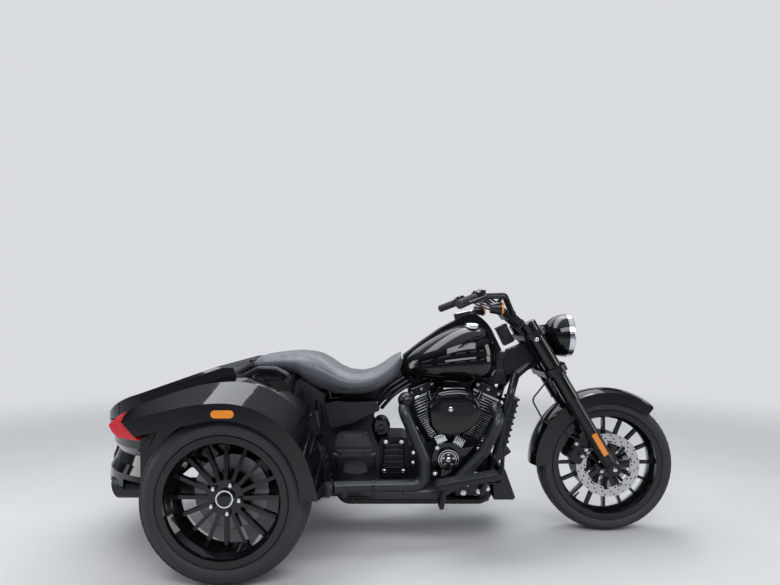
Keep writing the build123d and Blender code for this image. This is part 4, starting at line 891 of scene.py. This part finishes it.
# Wheels: hub caps, nuts, brake faces and rotor holes
CAP_OUT, NUT_OUT, DISC_IN = 58.3, 45, 46.05
NUT_CIRCLE_R = 57.15
HUB_CAP = (
    (0.036, -0.010), (0.0372, -0.006), (0.0372, 0.0), (0.034, 0.004), (0.029, 0.004),
    (0.027, 0.002), (0.021, 0.002), (0.019, 0.005), (0.010, 0.006), (0.001, 0.0065),
)
HUB_FACE = ((0.0262, -0.004), (0.0262, 0.001), (0.0245, 0.0018), (0.012, 0.0030), (0.001, 0.0034))
NUT = ((0.0125, 0), (0.0125, 0.004), (0.0105, 0.006), (0.0105, 0.020), (0.007, 0.023))
DISC_FACE = ((0.092, 0), (0.092, 0.0006), (0.1485, 0.0006), (0.1485, 0))
for hand, s in (("right", -1), ("left", 1)):
    cap = Piece(f"hub_cap_{hand}", "chrome", f"rear_wheel_{hand}")
    hub = P(0, (HALF_TRACK + CAP_OUT) * s, REAR_R)
    cap.lathe(hub, (0, s, 0), HUB_CAP, 48)
    for k in range(5):
        a = radians(66 + 72 * k)
        nut = P(NUT_CIRCLE_R * cos(a), (HALF_TRACK + NUT_OUT) * s, REAR_R + NUT_CIRCLE_R * sin(a))
        cap.lathe(nut, (0, s, 0), NUT, 6)
    cap.done()
    face = Piece(f"hub_face_{hand}", "gloss_black", f"rear_wheel_{hand}")
    face.lathe(hub + Vector((0, 0.0052 * s, 0)), (0, s, 0), HUB_FACE, 48)
    face.done()
    # The rear disc's face takes the darker steel, a painted shade
    disc = Piece(f"rear_disc_face_{hand}", "rotor_steel", f"rear_wheel_{hand}", SHADED_DISC_STEEL)
    disc.lathe(P(0, (HALF_TRACK - DISC_IN) * s, REAR_R), (0, s, 0), DISC_FACE, 96, capped=False)
    disc.done()


def on_front(r, a, y):
    """A point beside the front wheel at a radius, an angle and a distance to the left."""
    return P(WHEELBASE + r * cos(a), y, FRONT_R + r * sin(a))


holes = Piece("front_disc_holes", "black_plastic", "front_wheel")
HOLES = 20
HOLE = ((0.0042, 0), (0.0036, 0.0003), (0.001, 0.00032))
for s in SIDES:
    for ring, r in enumerate((112, 127, 142)):
        for k in range(HOLES):
            a = 2 * pi * (k + ring * 0.33) / HOLES
            holes.lathe(on_front(r, a, 66.05 * s), (0, s, 0), HOLE, 8)
holes.done()
carrier = Piece("front_disc_arms", "cast_black", "front_wheel")
RING = ((0.0085, 0), (0.0085, 0.0022), (0.006, 0.0032), (0.006, 0.002), (0.001, 0.002))
for s in SIDES:
    for a in angles(10, 0.2):
        arm = on_front(84, a, 66.6 * s)
        carrier.block(arm, (0.044, 0.003, 0.013), pitched(a), bevel=0.001, steps=1)
        carrier.lathe(on_front(108, a, 66.1 * s), (0, s, 0), RING, 20)
carrier.done()
stems = Piece("valve_stems", "rubber", "front_wheel")
STEM_AT = 4.0
STEM = ((0.006, -0.004), (0.0055, 0.006), (0.004, 0.010), (0.004, 0.026), (0.001, 0.027))
stems.lathe(on_front(214, STEM_AT, -14), (-cos(STEM_AT), -0.25, -sin(STEM_AT)), STEM, 12)
stems.done()
rotor_bolts = Piece("front_rotor_bolts", "chrome", "front_wheel")
for s in SIDES:
    for a in angles(5, 0.2):
        rotor_bolts.bolt(on_front(108, a, 67.0 * s), (0, s, 0), 0.0042, 0.003)
        rotor_bolts.bolt(on_front(42, a, 64.5 * s), (0, s, 0), 0.006, 0.004)
rotor_bolts.done()

# Fork trim
FORK_RAKE = radians(30.5)


def leaning(angle):
    """Up, tipped back by an angle."""
    return Vector((-sin(angle), 0, cos(angle)))


def along(angle):
    """Forward, lifted by an angle."""
    return Vector((cos(angle), 0, sin(angle)))


FORK = leaning(FORK_RAKE)


def on_fork(distance, y):
    """A point along a fork leg's axis, a distance from the axle."""
    return P(WHEELBASE, y, FRONT_R) + FORK * (distance / 1000)


fork_bright = Piece("fork_bolts", "chrome", "steering")
BUTTON = ((0.0105, -0.002), (0.0105, 0.004), (0.008, 0.006), (0.001, 0.0065))
for s in SIDES:
    for x, z in ((1307, 921), (1396, 777)):
        fork_bright.lathe(P(x, 157.6 * s, z), (0, s, 0), BUTTON, 24)
    fork_bright.bolt(P(WHEELBASE, 150.5 * s, FRONT_R), (0, s, 0), 0.011, 0.008)
    for x, z in ((1506, 431), (1534, 372), (1552, 402)):
        fork_bright.bolt(P(x, 111.2 * s, z), (0, s, 0), 0.0065, 0.006)
fork_bright.done()
reflector = Piece("fork_reflectors", "amber_lens", "steering")
shoe = Piece("reflector_shoes", "black_plastic", "steering")
turn = pitched(FORK_RAKE)
for s in SIDES:
    shoe.block(on_fork(134, 148.5 * s), (0.032, 0.008, 0.124), turn, bevel=0.003)
    reflector.block(on_fork(134, 152.6 * s), (0.025, 0.003, 0.114), turn, bevel=0.0012)
shoe.done()
reflector.done()
collars = Piece("fork_collars", "satin_black", "steering")
for s in SIDES:
    for distance, r in ((373, 0.0375), (496, 0.0415)):
        band = [(r - 0.002, -0.006), (r, -0.005), (r, 0.005), (r - 0.002, 0.006)]
        collars.lathe(on_fork(distance, 118 * s), FORK, band, 40, capped=False)
collars.done()

# A switch box behind the upper yoke, in line with the steering axis
switch_box = Piece("switch_box", "black_plastic", "steering")
HEAD_RAKE = radians(26)
turn = pitched(HEAD_RAKE)
box_at = P(1192, 0, 936)
switch_box.block(box_at, (0.054, 0.060, 0.088), turn, bevel=0.006)
switch_box.block(box_at + leaning(HEAD_RAKE) * 0.046, (0.058, 0.064, 0.008), turn, bevel=0.003)
switch_box.done()

# Headlamp reflector, instrument face and bar fittings
lamp = Piece("headlamp_reflector", "chrome", "steering")
BOWL = (
    (0.086, 0.003), (0.070, -0.0005), (0.050, -0.0020), (0.034, -0.0024),
    (0.034, 0.001), (0.030, 0.003), (0.001, 0.0034),
)
lamp.lathe(P(1484, 0, 934), (1, 0, 0), BOWL, 64)
lamp.done()
GAUGE = leaning(radians(12))
gauge_at = P(1000, 0, 1020) + GAUGE * 0.028
rim = Piece("gauge_ring", "chrome", "frame")
RIM = ((0.052, -0.001), (0.052, 0.002), (0.049, 0.0035), (0.046, 0.002), (0.046, 0))
rim.lathe(gauge_at, GAUGE, RIM, 64, capped=False)
rim.done()
dial = Piece("gauge_face", "black_plastic", "frame")
dial.lathe(gauge_at, GAUGE, [(0.046, 0.0002), (0.046, 0.0010), (0.001, 0.0012)], 64)
dial.done()
ticks = Piece("gauge_marks", "clear_lens", "frame", MARKS)
TICKS = 24
DIAL_HALF = 130
NEEDLE = -128


def mark(degrees, out, lift, long, wide):
    """A thin bar on the dial that points outward at an angle from the top."""
    a = radians(degrees)
    way = -GAUGE.cross(Vector((0, 1, 0))) * cos(a) + Vector((0, 1, 0)) * sin(a)
    turn = Matrix((way, GAUGE.cross(way), GAUGE)).transposed()
    ticks.block(gauge_at + GAUGE * lift + way * out, (long, wide, 0.0006), turn, bevel=0)


for k in range(TICKS + 1):
    long = 0.007 if k % 4 == 0 else 0.004
    mark(-DIAL_HALF + 2 * DIAL_HALF * k / TICKS, 0.038, 0.0015, long, 0.0011)
mark(NEEDLE, 0.014, 0.0018, 0.030, 0.0014)
ticks.done()

# Grips, switches and cables: drawn on the right, then mirrored
grip_in, grip_out = P(1012, -330, 1112), P(931, -430, 1079)
grip_way = (grip_out - grip_in).normalized()


def on_grip(distance):
    """A point on the right grip's axis, a distance in metres from its inner end."""
    return grip_in + grip_way * distance


ribs = Piece("grip_ribs", "rubber", "steering")
RIB = ((0.0182, 0), (0.0198, 0.001), (0.0198, 0.0035), (0.0182, 0.0045))
GRIP_END = ((0.0150, -0.002), (0.0200, 0.001), (0.0200, 0.006), (0.0160, 0.010), (0.001, 0.0105))
for k in range(15):
    ribs.lathe(on_grip(0.030 + k * 0.0075), grip_way, RIB, 28, capped=False)
ribs.lathe(on_grip(0.147), grip_way, GRIP_END, 28)
ribs.mirrored()
ribs.done()
switch = Piece("switch_trim", "satin_black", "steering")
for distance, r in ((-0.026, 0.0255), (-0.003, 0.0258), (0.019, 0.0258)):
    band = [(r - 0.002, -0.0015), (r, -0.001), (r, 0.002), (r - 0.002, 0.0025)]
    switch.lathe(on_grip(distance), grip_way, band, 32, capped=False)
switch.block(on_grip(-0.012) + Vector((-0.018, 0.006, 0.017)), (0.018, 0.014, 0.010), bevel=0.003)
switch.block(on_grip(0.004) + Vector((-0.020, 0.006, -0.014)), (0.014, 0.012, 0.012), bevel=0.003)
switch.mirrored()
switch.done()
cables = Piece("bar_cables", "rubber", "steering")
for y, z, sag in ((-300, 1120, 0), (-282, 1126, 14)):
    line = (
        (1022, y, z), (1090, -210, 1104 - sag), (1168, -120, 1062 - sag), (1224, -62, 1010 - sag),
        (1282, -44, 940), (1330, -38, 880),
    )
    cables.tube([P(*at) for at in line], 0.0048, 10)
cables.mirrored()
cables.done()

# Tail lamp ribs, floorboard pads and the pedal's pad
# The ribs' lighter red than the lens is a painted highlight
lamp_ribs = Piece("tail_lamp_ribs", "red_lens", "frame", RED_RIB_HIGHLIGHT)
for down in (0.30, 0.62):
    x, z = -401 + 12 * down, 640 - 52 * down
    lamp_ribs.tube([P(x, -500, z + 2), P(x - 1, -590, z), P(x, -668, z - 4)], 0.0032, 8)
lamp_ribs.mirrored()
lamp_ribs.done()
BOARD_AT, BOARD_SLOPE = P(966, -350, 318), radians(10)
PEDAL_AT, PEDAL_SLOPE = P(1118, -330, 425), radians(35)
pads = Piece("floorboard_pads", "rubber", "frame")
turn = pitched(BOARD_SLOPE)
pads.block(BOARD_AT + leaning(BOARD_SLOPE) * 0.0185, (0.262, 0.092, 0.005), turn, bevel=0.002)
for k in range(9):
    rib = BOARD_AT + leaning(BOARD_SLOPE) * 0.0215 + along(BOARD_SLOPE) * (-0.112 + k * 0.028)
    pads.block(rib, (0.012, 0.082, 0.003), turn, bevel=0.001, steps=1)
pads.mirrored()
pads.done()
pad = Piece("pedal_pad", "rubber", "frame")
for k in range(4):
    rib = PEDAL_AT + leaning(PEDAL_SLOPE) * 0.0178 + along(PEDAL_SLOPE) * (-0.027 + k * 0.018)
    pad.block(rib, (0.011, 0.048, 0.004), pitched(PEDAL_SLOPE), bevel=0.0012, steps=1)
pad.done()

# Floor, which fades into the backdrop for the camera
FLOOR_HALF = 60
FADE_FROM, FADE_TO = 1.6, 7.0
floor = bpy.data.meshes.new("floor")
bm = bmesh.new()
bmesh.ops.create_grid(bm, x_segments=1, y_segments=1, size=FLOOR_HALF)
bm.to_mesh(floor)
bm.free()
floor_obj = bpy.data.objects.new("floor", floor)
bpy.context.scene.collection.objects.link(floor_obj)
ground = material("floor", (0.480, 0.472, 0.462), (0.540, 0.532, 0.522), 0.7, scale=3, specular=0.2)
floor.materials.append(ground)
tree = ground.node_tree
spot = tree.nodes.new("ShaderNodeTexCoord")
far = tree.nodes.new("ShaderNodeVectorMath")
far.operation = "LENGTH"
tree.links.new(spot.outputs["Object"], far.inputs[0])
fade = tree.nodes.new("ShaderNodeMapRange")
fade.interpolation_type = "SMOOTHERSTEP"
fade.inputs[1].default_value = FADE_FROM
fade.inputs[2].default_value = FADE_TO
tree.links.new(far.outputs["Value"], fade.inputs[0])
eye = tree.nodes.new("ShaderNodeLightPath")
haze = tree.nodes.new("ShaderNodeEmission")
haze.inputs[0].default_value = BACKDROP
blend = tree.nodes.new("ShaderNodeMixShader")
share = maths(tree, "MULTIPLY", fade.outputs[0], eye.outputs["Is Camera Ray"])
tree.links.new(share, blend.inputs[0])
tree.links.new(tree.nodes["Principled BSDF"].outputs[0], blend.inputs[1])
tree.links.new(haze.outputs[0], blend.inputs[2])
tree.links.new(blend.outputs[0], tree.nodes["Material Output"].inputs[0])
